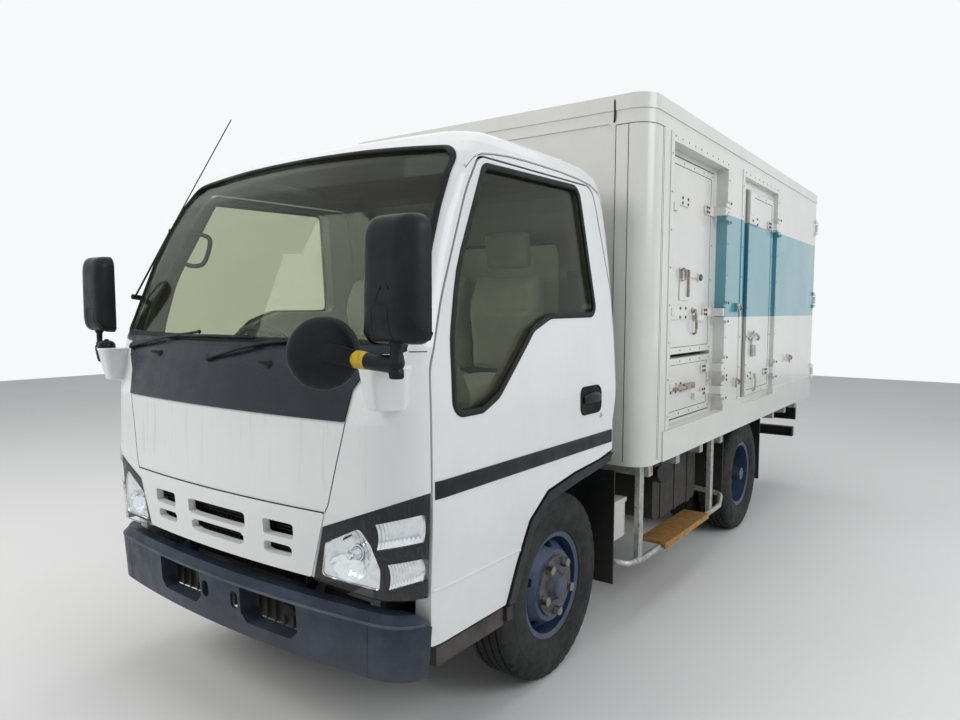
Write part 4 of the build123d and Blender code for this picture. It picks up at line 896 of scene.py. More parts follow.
# Mirrors: rounded housings on a jointed arm over a white base, and the round mirror at the left
HOUSING = [(-90, -150, 46), (-78, -161, 46), (80, -161, 50), (90, -140, 50), (88, 161, 42), (-84, 161, 42)]
MIRROR_BASE = [
    (1197, [(720, -880, 4), (720, -1002, 16), (768, -1002, 16), (816, -930, 16), (780, -872, 4)]),
    (1323, [(710, -880, 4), (710, -1030, 20), (775, -1030, 20), (842, -945, 20), (790, -872, 4)]),
]
HOUSING_STEPS = (1.0, 0.998, 0.99, 0.975, 0.955, 0.93, 0.90, 0.86, 0.81, 0.75, 0.66, 0.52, 0.35, 0.18, 0.02)
shell, faces, bases, seams = Shape(), Shape(), Shape(), Shape()
for side, y, z in ((1, -1155, 1562), (-1, -912, 1547)):
    x = side * 985
    outline = dense(rounded(HOUSING, 7), 16)
    rim = Vector((x, y + 30, z))
    rows = []
    for s, out in ((0.955, -5.0), (0.96, 0.5), (0.985, 1.0)):
        rows.append([rim + Vector((side * p.x * s, out, p.y * s)) for p in outline])
    for s in HOUSING_STEPS:
        rows.append([rim + Vector((side * p.x * s, -housing_depth(p * s, s), p.y * s)) for p in outline])
    shell.grid(rows, close_v=True, caps=True)
    rows = []
    for s in (0.958, 0.8, 0.6, 0.4, 0.2, 0.02):
        rows.append([rim + Vector((side * p.x * s, 3 * (1 - s * s) - 4.5, p.y * s)) for p in outline])
    faces.grid(rows, close_v=True)
    panel = dense(rounded([(-44, -166, 2), (-44, -62, 12), (10, -62, 12), (16, -166, 2)], 5), 8, False)
    pairs = []
    for p in panel:
        if p.y < -150:
            continue
        s = max(abs(p.x) / 86, abs(p.y) / 161)
        outward = Vector((0, -1, -0.12 if p.y > -130 else -0.6)).normalized()
        pairs.append((rim + Vector((side * p.x, -housing_depth(p, s) - 0.2, p.y)), outward))
    seams.seam(pairs, 1.8, 0.5, -1.2)
    foot = z - 235
    shell.disc((x, y, z - 150), (0, 0, -1), [(0, 17), (14, 17), (20, 12), (66, 11), (72, 13), (78, 13)], 18)
    dome = Vector((side * 790, -980, 1321))
    shell.disc(dome, (0, 0, 1), [(0, 33), (8, 34), (16, 33), (24, 29), (30, 21), (33, 10), (33.5, 0)], 28)
    shell.disc(dome, (0, 0, 1), [(30, 9), (37, 8.5), (38, 7), (38, 0)], 6)
    start, end = Vector((side * 800, -985, foot - 4)), Vector((x, y, foot))
    along = (end - start).normalized()
    steps = spread(start, end, 10)
    half = [26, 22, 19, 17, 16, 15, 15, 15, 16, 18, 19]
    up = Vector((0, 0, 1))
    across = along.cross(up).normalized()
    rows = []
    for p, w in zip(steps, half):
        rows.append([p + across * (w * power(c, 0.7)) + up * (9 * power(d, 0.7)) for c, d in ring(16)])
    shell.grid(rows, close_v=True, caps=True)
    shell.disc((x, y, foot), (0, 0, 1),
               [(-12, 0), (-12, 16), (-9, 19), (9, 19), (14, 15), (26, 14), (28, 11)], 20)
    if side < 0:
        shell.disc((x, y, foot - 8), (0.05, 0, -1),
                   [(0, 17), (14, 16), (40, 12), (48, 9), (52, 4), (53, 0)], 20)
    low, high = (even([Vector((side * p.x, p.y, height)) for p in dense(rounded(points, 5), 14)], 72)
                 for height, points in MIRROR_BASE)
    middle_low, middle_high = (sum(points, Vector()) / 72 for points in (low, high))
    rows = []
    for raise_by, shrink in ((-5, 0.55), (-3.5, 0.8), (-1.5, 0.93), (2, 0.985), (8, 1.0)):
        rows.append([middle_low + (p - middle_low) * shrink + Vector((0, 0, raise_by)) for p in low])
    for t in (0.2, 0.4, 0.6, 0.8, 0.93):
        rows.append([a.lerp(b, t) for a, b in zip(low, high)])
    for raise_by, shrink in ((-4, 1.0), (-1.2, 0.99), (0, 0.965), (0.4, 0.7)):
        rows.append([middle_high + (p - middle_high) * shrink + Vector((0, 0, raise_by)) for p in high])
    bases.grid(rows, close_v=True, caps=True)

axis = Vector((33, -28.6, 5.3)).normalized()
foot = Vector((765, -1194.8, 1372))
shell.disc(foot, axis, [(-1, 88), (-1, 94), (2, 96), (9, 96.5), (15, 95), (22, 90), (29, 81), (35, 68),
                        (40, 50), (43, 30), (44, 12), (44, 0)], 64)
faces.disc(foot, axis, [(-0.5, 89), (-3, 70), (-5, 45), (-6, 20), (-6.2, 0)], 48)
toward = Vector((985, -1155, 1350)) - (foot + axis * 30)
toward = (toward - axis * toward.dot(axis)).normalized()
rise = axis.cross(toward).normalized()
rise = rise if rise.z > 0 else -rise
rows = []
for k, t in enumerate(spread(0, 1, 12)):
    r = -6 + 84 * t
    wide = 27 - 3 * t
    top = 47 + 6 * min(1, t * 4) - 12 * max(0, t - 0.6)
    base = 34 - 26 * t * t
    squeeze = 0.72 if k == 0 else 0.9 if k == 1 else 1.0
    row = []
    for c, s in ring(20):
        high = (top + base) / 2 + (top - base) / 2 * power(s, 0.5) * squeeze
        row.append(foot + toward * r + rise * (wide * squeeze * power(c, 0.5)) + axis * high)
    rows.append(row)
shell.grid(rows, close_v=True, caps=True)
boss_end = foot + toward * 72 + axis * 22
elbow = Vector((985, -1155, 1349))
after = [elbow + Vector(step) for step in ((-4, 0, 2), (0, 0, 16), (0, 0, 34), (0, 0, 60))]
curve = curve_through([boss_end, boss_end.lerp(elbow, 0.45), boss_end.lerp(elbow, 0.80)] + after)
sizes = [22 - 10 * max(0, (k / (len(curve) - 1) - 0.55) / 0.45) for k in range(len(curve))]
shell.tube(curve, sizes, 20)
band = Shape()
band.tube(spread(curve[1], curve[5], 4), [22.6, 23.6, 24.0, 23.6, 22.6], 28)
obj = shell.make("mirror_shells", BLACK, "cab", "black_plastic", sharp=50)
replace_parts(obj, "mirrors")
faces.make("mirror_faces", MIRROR, "cab", "lamp_reflector")
bases.make("mirror_bases", CAB_WHITE, "cab", "white_paint", sharp=50)
seams.make("mirror_panel_lines", SEAMS_AND_SHADE, "cab", "black_plastic")
f = Finish("yellow_band", rough=0.45)
f.colour(f.blotch(60.0, 5.0, 0.6, 0.35, 0.7, (0.62, 0.42, 0.03), (0.36, 0.24, 0.03)))
f.bump(f.noise(200.0, 3.0, 0.6), 0.0005, 0.3)
band.make("mirror_arm_band", f.material, "cab", "black_plastic")

# Wipers: pivot caps, bowed arms and blades, and the washer nozzles
WIPERS = [
    [(-660, 1330), (-164, 1398), (-412, 1377), (153, 1388)],
    [(-58, 1311), (301, 1382), (90, 1358), (590, 1396)],
]
BLADE = [(-3.5, 3), (-3.5, 6), (3.5, 6), (3.5, 3), (1, 0), (0.8, -5), (-0.8, -5), (-1, 0)]
NOZZLES = [(-407, 1314), (264, 1304)]
arms, blades, caps = Shape(), Shape(), Shape()
for pivot, tip, start, end in WIPERS:
    p, n = front_point(*pivot)
    caps.disc(p, n, [(-4, 17), (4, 16), (10, 13), (16, 13), (20, 11), (21, 0)], 22)
    run, normals = [], []
    for k, place in enumerate(spread(Vector(pivot), Vector(tip), 24)):
        t = k / 24
        p, n = front_point(*place)
        run.append(p + n * (15 + 9 * math.sin(math.pi * t) - t))
        normals.append(n)
    rows = []
    for k, (p, n) in enumerate(zip(run, normals)):
        t = k / 24
        ahead = (run[min(k + 1, 24)] - run[max(k - 1, 0)]).normalized()
        sideways = ahead.cross(n).normalized()
        wide = 8.5 - 4.5 * t if t > 0.08 else 10.5
        rows.append([p + sideways * (wide * power(c, 0.6)) + n * (4.2 * power(s, 0.6)) for c, s in ring(12)])
    arms.grid(rows, close_v=True, caps=True)
    pairs = [front_point(*place) for place in spread(Vector(start), Vector(end), 30)]
    run, normals = [p + n * 6.0 for p, n in pairs], [n for p, n in pairs]
    blades.sweep(run, normals, BLADE)
    for lo, hi, lift in ((0.08, 0.92, 13), (0.02, 0.26, 8), (0.74, 0.98, 8), (0.34, 0.66, 9)):
        bow = []
        for k, t in enumerate(spread(lo, hi, 12)):
            i = min(29, int(t * 30))
            p = run[i].lerp(run[i + 1], t * 30 - i)
            bow.append((p + normals[i] * (5 + lift * math.sin(math.pi * k / 12) ** 0.7), normals[i]))
        blades.seam(bow, 8, 1.2, -1.2)
    p, n = front_point(*tip)
    blades.disc(p + n * 10, n, [(0, 7), (8, 7), (10, 5), (10, 0)], 14)
for x, z in NOZZLES:
    p, n = front_point(x, z)
    caps.disc(p, n, [(-3, 16), (4, 15), (10, 12), (15, 7), (17, 0)], 20)
    head = p + n * 13
    caps.tube([p + n * 9, head + Vector((-14, -4, 2)), head + Vector((-36, -8, 4))], [8, 6.5, 4.5], 12)
obj = arms.make("wiper_arms", BLACK, "cab", "black_plastic")
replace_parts(obj, "wipers")
blades.make("wiper_blades", BLACK, "cab", "black_plastic")
caps.make("wiper_caps", BLACK, "cab", "black_plastic")

# Seats: cushions puffed up by a cloth simulation, standing in for the CAD blocks
BASE = [(-300, 1061), (-300, 1150), (-268, 1166), (150, 1190), (292, 1190), (300, 1061)]
BACK = [(188, 1196), (140, 1480), (152, 1540), (206, 1652), (284, 1652), (292, 1196)]
REST = [(184, 1668), (175, 1836), (246, 1836), (264, 1668)]
SEAT_X = [(-600, -130), (-110, 190), (200, 600)]
PUFF = {"quality": 4, "mass": 0.3, "tension_stiffness": 12, "compression_stiffness": 12,
        "bending_stiffness": 0.8, "use_pressure": True, "uniform_pressure_force": 4.0}
PUFF_LIMIT = 0.013


def cushion(name, solids, channels):
    """Prisms in a list of (profile of Y and Z, X from, X to) as puffed cloth, with sewn channels."""
    work = bmesh.new()
    for profile, x0, x1 in solids:
        middle = sum((Vector(p) for p in profile), Vector((0, 0))) / len(profile)
        inner = [middle + (Vector(p) - middle) * 0.955 for p in profile]
        near = [work.verts.new(at(x0 + 9, p.x, p.y)) for p in inner]
        far = [work.verts.new(at(x1 - 9, p.x, p.y)) for p in inner]
        work.faces.new(near)
        work.faces.new(list(reversed(far)))
        for i in range(len(inner)):
            j = (i + 1) % len(inner)
            work.faces.new((near[i], far[i], far[j], near[j]))
    bmesh.ops.recalc_face_normals(work, faces=work.faces)
    bmesh.ops.bevel(work, geom=work.edges[:], offset=0.026, segments=3, profile=0.6, affect="EDGES")
    mesh = bpy.data.meshes.new(name)
    work.to_mesh(mesh)
    work.free()
    obj = bpy.data.objects.new(name, mesh)
    bpy.context.scene.collection.objects.link(obj)
    remesh = obj.modifiers.new("voxels", "REMESH")
    remesh.mode = "VOXEL"
    remesh.voxel_size = 0.014
    fresh = bpy.data.meshes.new_from_object(obj.evaluated_get(bpy.context.evaluated_depsgraph_get()))
    obj.modifiers.clear()
    obj.data = fresh
    rest = [v.co.copy() for v in fresh.vertices]
    cloth = obj.modifiers.new("cloth", "CLOTH")
    for setting, value in PUFF.items():
        setattr(cloth.settings, setting, value)
    cloth.settings.effector_weights.gravity = 0.0
    cloth.point_cache.frame_start = 1
    cloth.point_cache.frame_end = 20
    for number in range(1, 21):
        bpy.context.scene.frame_set(number)
    after = obj.evaluated_get(bpy.context.evaluated_depsgraph_get()).to_mesh()
    moved = [v.co.copy() for v in after.vertices]
    obj.evaluated_get(bpy.context.evaluated_depsgraph_get()).to_mesh_clear()
    obj.modifiers.clear()
    bpy.context.scene.frame_set(1)
    for v, start, end in zip(fresh.vertices, rest, moved):
        move = end - start
        v.co = start + move * min(1.0, PUFF_LIMIT / max(move.length, 1e-9))
    work = bmesh.new()
    work.from_mesh(fresh)
    work.normal_update()
    for v in work.verts:
        y, z = v.co.y * 1000 + MID, v.co.z * 1000
        for kind, place in channels:
            d = (y if kind == "y" else z) - place
            if abs(d) < 26 and (v.normal.z > 0.5 if kind == "y" else v.normal.y < -0.5):
                v.co -= v.normal * 0.0065 * math.exp(-(d / 9) ** 2)
    work.to_mesh(fresh)
    work.free()
    smooth = obj.modifiers.new("smooth", "SUBSURF")
    smooth.levels = smooth.render_levels = 1
    final = bpy.data.meshes.new_from_object(obj.evaluated_get(bpy.context.evaluated_depsgraph_get()))
    obj.modifiers.clear()
    obj.data = final
    final.materials.clear()
    final.materials.append(CLOTH)
    final.polygons.foreach_set("use_smooth", [True] * len(final.polygons))
    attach(obj, "cab")
    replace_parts(obj, "seats")


cushion("seat_bases", [(BASE, x0, x1) for x0, x1 in SEAT_X], [("y", -150), ("y", 10)])
cushion("seat_backs", [(BACK, x0 + 10, x1 - 10) for x0, x1 in SEAT_X], [("z", 1330), ("z", 1480)])
cushion("seat_headrests", [(REST, x - 120, x + 120) for x in (-365, 400)], [])

# Steering wheel: smooth rim, three spokes and a hub pad
hub = Vector((-365, -430, 1300))
lean_axis = Vector((0, 0.56, 0.83)).normalized()
lean_x = Vector((1, 0, 0))
lean_y = lean_axis.cross(lean_x)
spokes = [lean_x * c + lean_y * s for c, s in ring(12)]
shape = Shape()
rim = [hub + (lean_x * c + lean_y * s) * 185 for c, s in ring(72)]
shape.tube(rim, 14.5, 14, closed=True)
for out in (spokes[3], spokes[7], spokes[11]):
    run = [hub - lean_axis * drop + out * far for drop, far in ((8, 46), (12, 90), (8, 140), (0, 178))]
    shape.sweep(run, [lean_axis] * 4, [(-16, -5), (-18, 0), (-16, 5), (16, 5), (18, 0), (16, -5)])
shape.disc(hub, lean_axis, [(-30, 40), (-28, 58), (-6, 64), (6, 60), (13, 48), (15, 30), (15, 0)], 32)
shape.disc(hub - lean_axis * 328, lean_axis,
           [(0, 26), (220, 26), (235, 38), (300, 38), (306, 30), (312, 0)], 24)
obj = shape.make("wheel_rim", BLACK, "cab", "black_plastic", sharp=45)
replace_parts(obj, "steering_wheel")

# Grab handle on the right screen pillar
shape = Shape()
handle = [(-745, -611, 1822), (-715, -575, 1815), (-700, -548, 1795), (-698, -560, 1735), (-702, -585, 1685),
          (-725, -620, 1675), (-745, -650, 1686)]
shape.tube(curve_through(handle), 10, 14)
shape.make("grab_handle", DASH, "cab", "dash_plastic")

X_OUT = Vector((1, 0, 0))


def bolt(shape, place, radius=6.0, high=4.0):
    shape.disc(place, X_OUT, [(-0.5, radius * 1.5), (1.2, radius * 1.5), (1.3, radius), (high, radius),
                              (high + 0.8, radius * 0.75), (high + 0.8, 0)], 6)


def rivet(shape, place):
    shape.disc(place, X_OUT, [(-0.4, 5), (0.8, 4.6), (1.9, 3), (2.3, 1), (2.3, 0)], 10)


def plate(shape, y0, y1, z0, z1, x, thick, radius):
    """A flat plate with round corners and a soft edge, facing away from the body's side."""
    run = rounded([(y0, z0, radius), (y1, z0, radius), (y1, z1, radius), (y0, z1, radius)], 4)
    middle = Vector(((y0 + y1) / 2, (z0 + z1) / 2))
    rows = []
    for inset, out in ((0, -0.6), (0, thick - 1), (1.2, thick), (min(y1 - y0, z1 - z0) / 2.2, thick)):
        row = []
        for p in run:
            inward = Vector([math.copysign(min(inset, abs(c)), c) for c in p - middle])
            row.append(Vector((x + out, *(p - inward))))
        rows.append(row)
    shape.grid(rows, close_v=True, caps=True)


def border(shape, y0, y1, z0, z1, x, wide=33.0, thick=2.0):
    """A flat strip round the edge of a door leaf."""
    rows = []
    for inset, out in ((0, -0.5), (0, thick - 0.5), (0.5, thick), (wide - 0.5, thick), (wide, thick - 0.5),
                       (wide, -0.5)):
        a, b, low, high = y0 + inset, y1 - inset, z0 + inset, z1 - inset
        rows.append([Vector((x + out, y, z)) for y, z in ((a, low), (b, low), (b, high), (a, high))])
    shape.grid(rows, close_v=True)


# Freezer body's kerb side: strips, bolts, seams and latches of its door leaves
# Each leaf: front, rear, foot, head, outer face, the feet of its knuckles and their face
LEAVES = {
    "side_door_lower": (955, 1592, 936, 1246, 870, (1018, 1146), 938),
    "side_door_upper": (955, 1592, 1264, 2250, 870, (1458, 2018), 938),
    "side_door_middle": (2134, 2715, 950, 2236, 920, (1058, 2038), 944),
}
BY_BODY = {body: (Shape(), Shape()) for body in LEAVES}
for body, (y0, y1, z0, z1, x, knuckles, hinge_x) in LEAVES.items():
    fixed, screws = BY_BODY[body]
    border(fixed, y0 + 2, y1 - 2, z0 + 2, z1 - 2, x)
    lines = Shape()
    border(lines, y0 + 35, y1 - 35, z0 + 35, z1 - 35, x, 2.4, 1.2)
    border(lines, y0 + 0.6, y1 - 0.6, z0 + 0.6, z1 - 0.6, x, 3.2, 1.0)
    lines.make(f"{body}_lines", SEAMS_AND_SHADE, body, "dark_panel")
    count_y, count_z = max(2, round((y1 - y0) / 170)), max(2, round((z1 - z0) / 190))
    spots = [(y, z) for y in spread(y0 + 19, y1 - 19, count_y) for z in (z0 + 19, z1 - 19)]
    spots += [(y, z) for z in spread(z0 + 19, z1 - 19, count_z)[1:-1] for y in (y0 + 19, y1 - 19)]
    for y, z in spots:
        rivet(screws, (x + 2, y, z))
    for z in knuckles:
        plate(fixed, y1 - 150, y1 - 8, z - 4, z + 48, x + 1.5, 8.8, 14)
        for y in (y1 - 128, y1 - 96):
            for high in (z + 10, z + 34):
                bolt(screws, (x + 10, y, high), 6.5, 5)
# Plates on the leaves: front, rear, foot, head, face, thickness and corner radius
PLATES = {
    "side_door_upper": [(962, 1200, 2019, 2071, 872, 4, 8), (962, 1200, 1441, 1513, 872, 4, 8),
                        (1092, 1216, 1540, 1708, 872, 3.5, 8), (1238, 1400, 1662, 1684, 872, 3.0, 8)],
    "side_door_lower": [(962, 1150, 1064, 1122, 872, 5, 6)],
    "side_door_middle": [(2140, 2330, 2024, 2082, 922, 5, 8), (2140, 2230, 2080, 2229, 922, 6, 6),
                         (2140, 2250, 1040, 1112, 922, 6, 8)],
}
for body, plates in PLATES.items():
    for numbers in plates:
        plate(BY_BODY[body][0], *numbers)

# Bolts through them: the face, the radius, and Y and Z of each
BOLTS = [
    ("side_door_upper", 876, 6.0, [(y, z) for y in (1102, 1180) for z in (2032, 2058)]),
    ("side_door_upper", 876, 6.0, [(y, z) for y in (1102, 1180) for z in (1454, 1500)]),
    ("side_door_lower", 877, 5.5, [(y, z) for y in (990, 1060, 1130) for z in (1074, 1112)]),
    ("side_door_middle", 927, 6.0, [(2300, 2070), (2304, 2036), (2200, 2052)]),
    ("side_door_middle", 928, 6.0, [(2236, 1094), (2239, 1056), (2180, 1076)]),
]
for body, x, radius, places in BOLTS:
    for y, z in places:
        bolt(BY_BODY[body][1], (x, y, z), radius)
screws = BY_BODY["side_door_upper"][1]
screws.disc((884, 1370, 1666), X_OUT, [(-2, 17), (3, 18), (8, 17), (10, 13), (10, 0)], 20)
handle = Shape()
handle.tube([(874, 1298, 1497), (888, 1300, 1490), (892, 1304, 1460), (892, 1309, 1400), (888, 1312, 1370),
             (874, 1313, 1362)], 7, 10)
handle.disc((872, 1299, 1488), X_OUT, [(0, 17), (4, 16), (8, 12), (9, 0)], 14)
handle.make("front_leaf_handle", RUSTY, "side_door_upper", "galvanised")
hook = Shape()
hook.tube([(878, 1096, 1690), (890, 1100, 1698), (894, 1118, 1694), (893, 1130, 1672), (890, 1124, 1650),
           (880, 1108, 1644)], 8, 10)
hook.block((875, 889), (1092, 1132), (1652, 1684), 3)
hook.disc((876, 1112, 1668), X_OUT, [(0, 21), (5, 20), (13, 13), (15, 0)], 14)
hook.block((875, 886), (1194, 1212), (1560, 1700), 3)
hook.make("front_leaf_latch", RUSTY, "side_door_upper", "galvanised")
latch = Shape()
latch.block((874, 892), (1150, 1312), (1074, 1104), 3)
latch.tube([(884, 1000, 1090), (896, 1020, 1092), (898, 1100, 1090), (892, 1190, 1088)], 9, 10)
latch.disc((880, 1118, 1090), X_OUT, [(0, 19), (8, 18), (15, 12), (16, 0)], 14)
latch.make("lower_leaf_latch", RUSTY, "side_door_lower", "galvanised")
latch = Shape()
latch.block((921, 936), (2250, 2330), (1196, 1268), 5)
latch.tube([(932, 2180, 1310), (942, 2220, 1332), (944, 2300, 1340), (942, 2370, 1318), (930, 2396, 1300)],
           8, 10)
latch.tube([(930, 2240, 1290), (940, 2246, 1330), (940, 2262, 1352), (930, 2280, 1356)], 6, 10)
latch.tube([(926, 2316, 1084), (938, 2318, 1078), (942, 2322, 1030), (938, 2326, 980), (926, 2327, 972)],
           6, 10)
latch.make("middle_leaf_latch", ZINC, "side_door_middle", "galvanised")
# Dark strip on the middle leaf's face by its front edge: painted shade standing for the deep gap there
slot = Shape()
slot.block((918, 922.6), (2141, 2158), (2084, 2222), 0.6)
slot.make("middle_leaf_gap_shade", SEAMS_AND_SHADE, "side_door_middle", "dark_panel")
for body, (fixed, screws) in BY_BODY.items():
    fixed.make(f"{body}_strips", BOX_WHITE, body, "white_paint", sharp=30)
    screws.make(f"{body}_bolts", BOLT, body, "galvanised", sharp=40)

# Rivets on the raised frames, hinge bracket bolts and catches
bolts, rusty = Shape(), Shape()
for y0, y1, z0, z1 in ((825, 1655, 920, 2282), (1985, 2785, 908, 2292)):
    for y in spread(y0 + 10, y1 - 10, round((y1 - y0) / 96)):
        rivet(bolts, (934, y, z1 + 24))
    for z in spread(z0 + 60, z1 - 60, 7):
        for y in (y0 - 22, y1 + 22):
            rivet(bolts, (934, y, z))
for body, (y0, y1, z0, z1, x, knuckles, hinge_x) in LEAVES.items():
    edge = 1655 if x == 870 else 2785
    for z in knuckles:
        for high in (z - 30, z + 75):
            bolt(bolts, (hinge_x + 6, edge + 30, high))
for y, z in ((1867, 1508), (1867, 1065), (3203, 1140)):
    rusty.disc((944, y, z + 8), X_OUT, [(0, 15), (6, 14), (12, 9), (13, 0)], 12)
    rusty.tube([(944, y + 8, z + 20), (958, y + 16, z + 12), (960, y + 34, z - 2), (950, y + 44, z - 14)],
               6, 8)
    rusty.tube([(944, y - 6, z + 8), (954, y - 8, z - 10), (952, y - 12, z - 34)], 5, 8)
bolts.make("body_rivets", BOLT, "chassis", "galvanised", sharp=40)
rusty.make("door_catches", RUSTY, "chassis", "galvanised")

# Front bumper: dark depth behind its openings, and the bead below its upper lip
shape = Shape()
shape.block((-600, 600), (-868, -860), (366, 548), 2)
for k in range(-12, 13):
    shape.block((k * 48 - 3, k * 48 + 3), (-880, -866), (370, 540), 1.5)
for side in (1, -1):
    shape.tube([(side * 250, -868, 500), (side * 256, -905, 486), (side * 262, -915, 462)], 9, 10)
    shape.disc((side * 262, -900, 455), (0.2 * side, -1, -0.1), [(0, 24), (14, 26), (22, 20), (24, 0)], 18)
shape.make("bumper_backing", UNDER, "chassis", "underbody")
BUMPER_BACK = -852


def bumper_line(z, half, front, corner):
    """Points around the bumper's bowed front and round ends at one height, with their outward directions."""
    centre = front + BOW
    middle = half - corner
    y_mid = centre - math.sqrt((BOW - corner) ** 2 - middle * middle)
    edge = math.atan2(middle, centre - y_mid)

    def arc_part(x, y, radius, angles):
        outward = [Vector((math.sin(a), -math.cos(a), 0)) for a in angles]
        return [(Vector((x, y, z)) + n * radius, n) for n in outward]

    line = arc_part(0, centre, BOW, spread(-edge, edge, 48))
    right = arc_part(middle, y_mid, corner, spread(edge, math.pi / 2, 10)[1:])
    left = [(Vector((-p.x, p.y, z)), Vector((-n.x, n.y, 0))) for p, n in reversed(right)]
    return left + line + right


BEAD = [(-5, -3), (-4.5, 1.5), (-1.5, 3.6), (1.5, 3.6), (4.5, 1.5), (5, -3)]
UPWARD = Vector((0, 0, 0.3))
run = [(p, (n + UPWARD).normalized()) for p, n in bumper_line(537, 849, -1011, 154) if p.y < BUMPER_BACK]
trim("bumper_bead", run, BEAD, BUMPER_EDGE, "chassis", "bumper_plastic")
shape = Shape()
low, high = bumper_line(363, 836, -1002, 150), bumper_line(535, 850, -1012, 155)
top = bumper_line(566, 832, -990, 140)
for k in (11, -12):
    points = spread(low[k][0], high[k][0], 6) + [top[k][0]]
    shape.seam([(p, low[k][1]) for p in points], 2.6)
shape.make("bumper_joints", SEAMS_AND_SHADE, "chassis", "bumper_plastic")

# Corner post seams, its cap line and the black hook over the roof's edge
POST_FOOT, POST_HEAD = 790, 2319
seams = Shape()
for side in (1, -1):
    ahead, sideways = Vector((0, -1, 0)), Vector((side, 0, 0))
    for x, y, n, width in ((761, 551, ahead, 3.2), (823, 551, ahead, 3.2), (930, 690, sideways, 2.6),
                           (930, 706, sideways, 2.6)):
        upright = [(Vector((side * x, y, z)), n) for z in spread(POST_FOOT, POST_HEAD, 8)]
        seams.seam(upright, width, 0.5, -1)
    run = [(Vector((side * x, 551, 2321)), ahead) for x in (761, 790, 815)]
    for k in range(11):
        a = math.radians(-90 + 9 * k)
        out = Vector((side * math.cos(a), math.sin(a), 0))
        run.append((Vector((side * 830, 651, 2321)) + out * 100, out))
    run.append((Vector((side * 930, 706, 2321)), sideways))
    seams.seam(run, 3.2, 0.6, -1)
seams.make("corner_post_seams", SEAMS_AND_SHADE, "chassis", "dark_panel")
hook = Shape()
hook.tube([(752, 640, 2455), (753, 600, 2456), (754, 566, 2452), (755, 551, 2440), (756, 546.5, 2420),
           (757, 546, 2380), (756, 547, 2345), (752, 549, 2334)], 4.5, 10)
hook.make("roof_hook", BLACK, "chassis", "black_plastic")


# Tyres: half profile (distance from the middle, radius), with grooves and shoulder lugs
TYRE_STEPS = 180
TYRE_HALF = [
    (70, 204), (79, 212), (88, 219), (89, 224), (95, 240), (96, 241.5), (100.5, 262), (102.3, 280),
    (102.4, 296), (101, 312), (99.5, 313.5), (97, 330), (92, 346), (88, 356), (84.5, 364), (80, 369.5),
    (74, 372.8), (66, 374.6), (58, 375.2), (57, 366.5), (50, 366.5), (49, 375.4), (36, 375.5), (22, 375.6),
    (21, 366.5), (14, 366.5), (13, 375.6), (0, 375.6),
]
TYRE_PROFILE = TYRE_HALF + [(-x, r) for x, r in reversed(TYRE_HALF[:-1])]


def tyre(name, body, x_mids, y_centre, node):
    shape = Shape()
    for x_mid in x_mids:
        rows = []
        for k, (c, s) in enumerate(ring(TYRE_STEPS)):
            row = []
            for x, r in TYRE_PROFILE:
                lug = abs(x) > 60 and r > 352
                bar = 23 < abs(x) < 60 and r > 370
                cut = 0.0
                if lug and k % 4 == (0 if x > 0 else 2):
                    cut = 7.0
                if bar and k % 6 == 3:
                    cut = 2.5
                row.append(Vector((x_mid + x, y_centre + (r - cut) * c, AXLE_Z + (r - cut) * s)))
            rows.append(row)
        shape.grid(rows, close_u=True)
    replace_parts(shape.make(name, TYRE, body, "tyre_rubber", sharp=28), node)


for side, name in SIDES:
    tyre(f"road_tyre_front_{name}", f"wheel_front_{name}", [side * 697.5], 0.0, f"tyre_front_{name}")
    tyre(f"road_tyres_rear_{name}", f"wheel_rear_{name}", [side * 730.5, side * 498], WHEELBASE,
         f"tyres_rear_{name}")

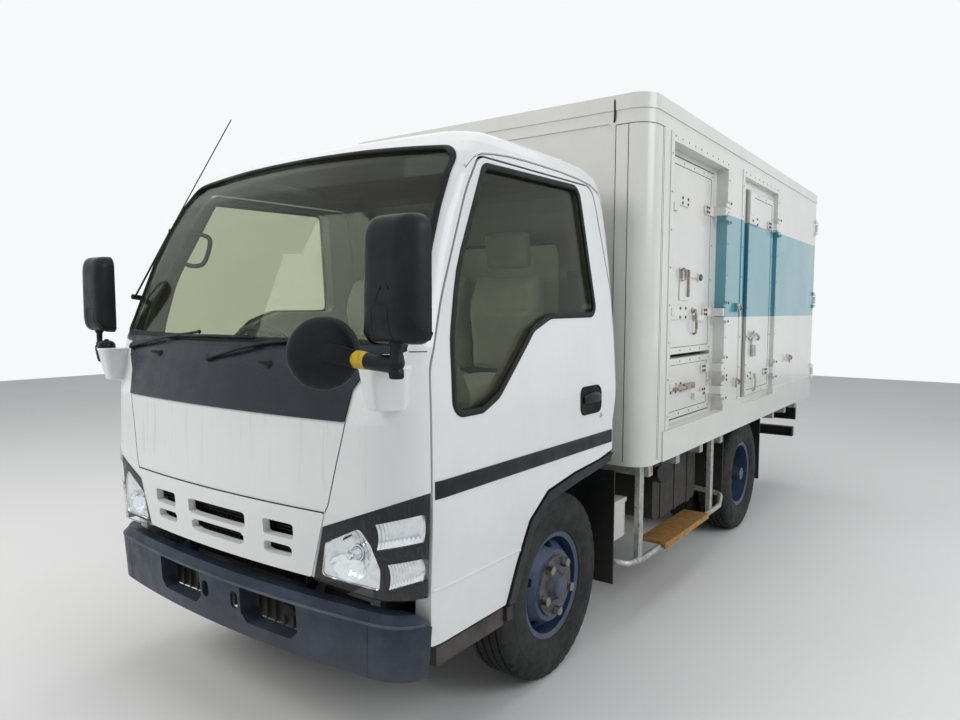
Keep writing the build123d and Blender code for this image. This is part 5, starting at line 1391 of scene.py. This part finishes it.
# Stage and light
ground = bpy.data.meshes.new("floor")
ground.from_pydata([(-14, -14, 0), (14, -14, 0), (14, 14, 0), (-14, 14, 0)], [], [(0, 1, 2, 3)])
floor = bpy.data.objects.new("floor", ground)
bpy.context.scene.collection.objects.link(floor)
f = Finish("floor_pale", rough=0.7)
f.colour(f.mix(f.noise(0.6, 3.0), (0.70, 0.70, 0.69), (0.76, 0.76, 0.75)))
ground.materials.append(f.material)


def lamp(name, place, target, size, power, tint=(1, 1, 1), glossy=True):
    data = bpy.data.lights.new(name, "AREA")
    data.shape = "RECTANGLE"
    data.size, data.size_y = size
    data.energy = power
    data.color = tint
    obj = bpy.data.objects.new(name, data)
    obj.location = place
    obj.rotation_mode = "QUATERNION"
    obj.rotation_quaternion = (Vector(target) - Vector(place)).to_track_quat("-Z", "Y")
    obj.visible_glossy = glossy
    bpy.context.scene.collection.objects.link(obj)


lamp("key", (-3.5, -6.5, 5.5), (0, -0.8, 1.0), (4, 3), 285, (1.0, 0.99, 0.97), glossy=False)
lamp("side", (6.5, -0.5, 4.5), (0.5, 0.3, 1.1), (4, 4), 190, (0.96, 0.98, 1.0))
lamp("top", (0, 0.5, 7.0), (0, 0.4, 0), (6, 7), 200, glossy=False)
world = bpy.data.worlds.new("world")
bpy.context.scene.world = world
world.use_nodes = True
tree = world.node_tree
tree.nodes.clear()
out = tree.nodes.new("ShaderNodeOutputWorld")
paths = tree.nodes.new("ShaderNodeLightPath")
lit, seen = tree.nodes.new("ShaderNodeBackground"), tree.nodes.new("ShaderNodeBackground")
pick = tree.nodes.new("ShaderNodeMixShader")
lit.inputs["Color"].default_value = (0.95, 0.97, 1.0, 1)
lit.inputs["Strength"].default_value = 0.42
seen.inputs["Color"].default_value = (0.93, 0.94, 0.95, 1)
seen.inputs["Strength"].default_value = 1.0
shows = paths.outputs["Is Camera Ray"]
for ray in ("Is Glossy Ray", "Is Transmission Ray"):
    larger = tree.nodes.new("ShaderNodeMath")
    larger.operation = "MAXIMUM"
    tree.links.new(shows, larger.inputs[0])
    tree.links.new(paths.outputs[ray], larger.inputs[1])
    shows = larger.outputs[0]
tree.links.new(shows, pick.inputs[0])
tree.links.new(lit.outputs[0], pick.inputs[1])
tree.links.new(seen.outputs[0], pick.inputs[2])
tree.links.new(pick.outputs[0], out.inputs[0])
bpy.context.scene.view_settings.view_transform = "Standard"
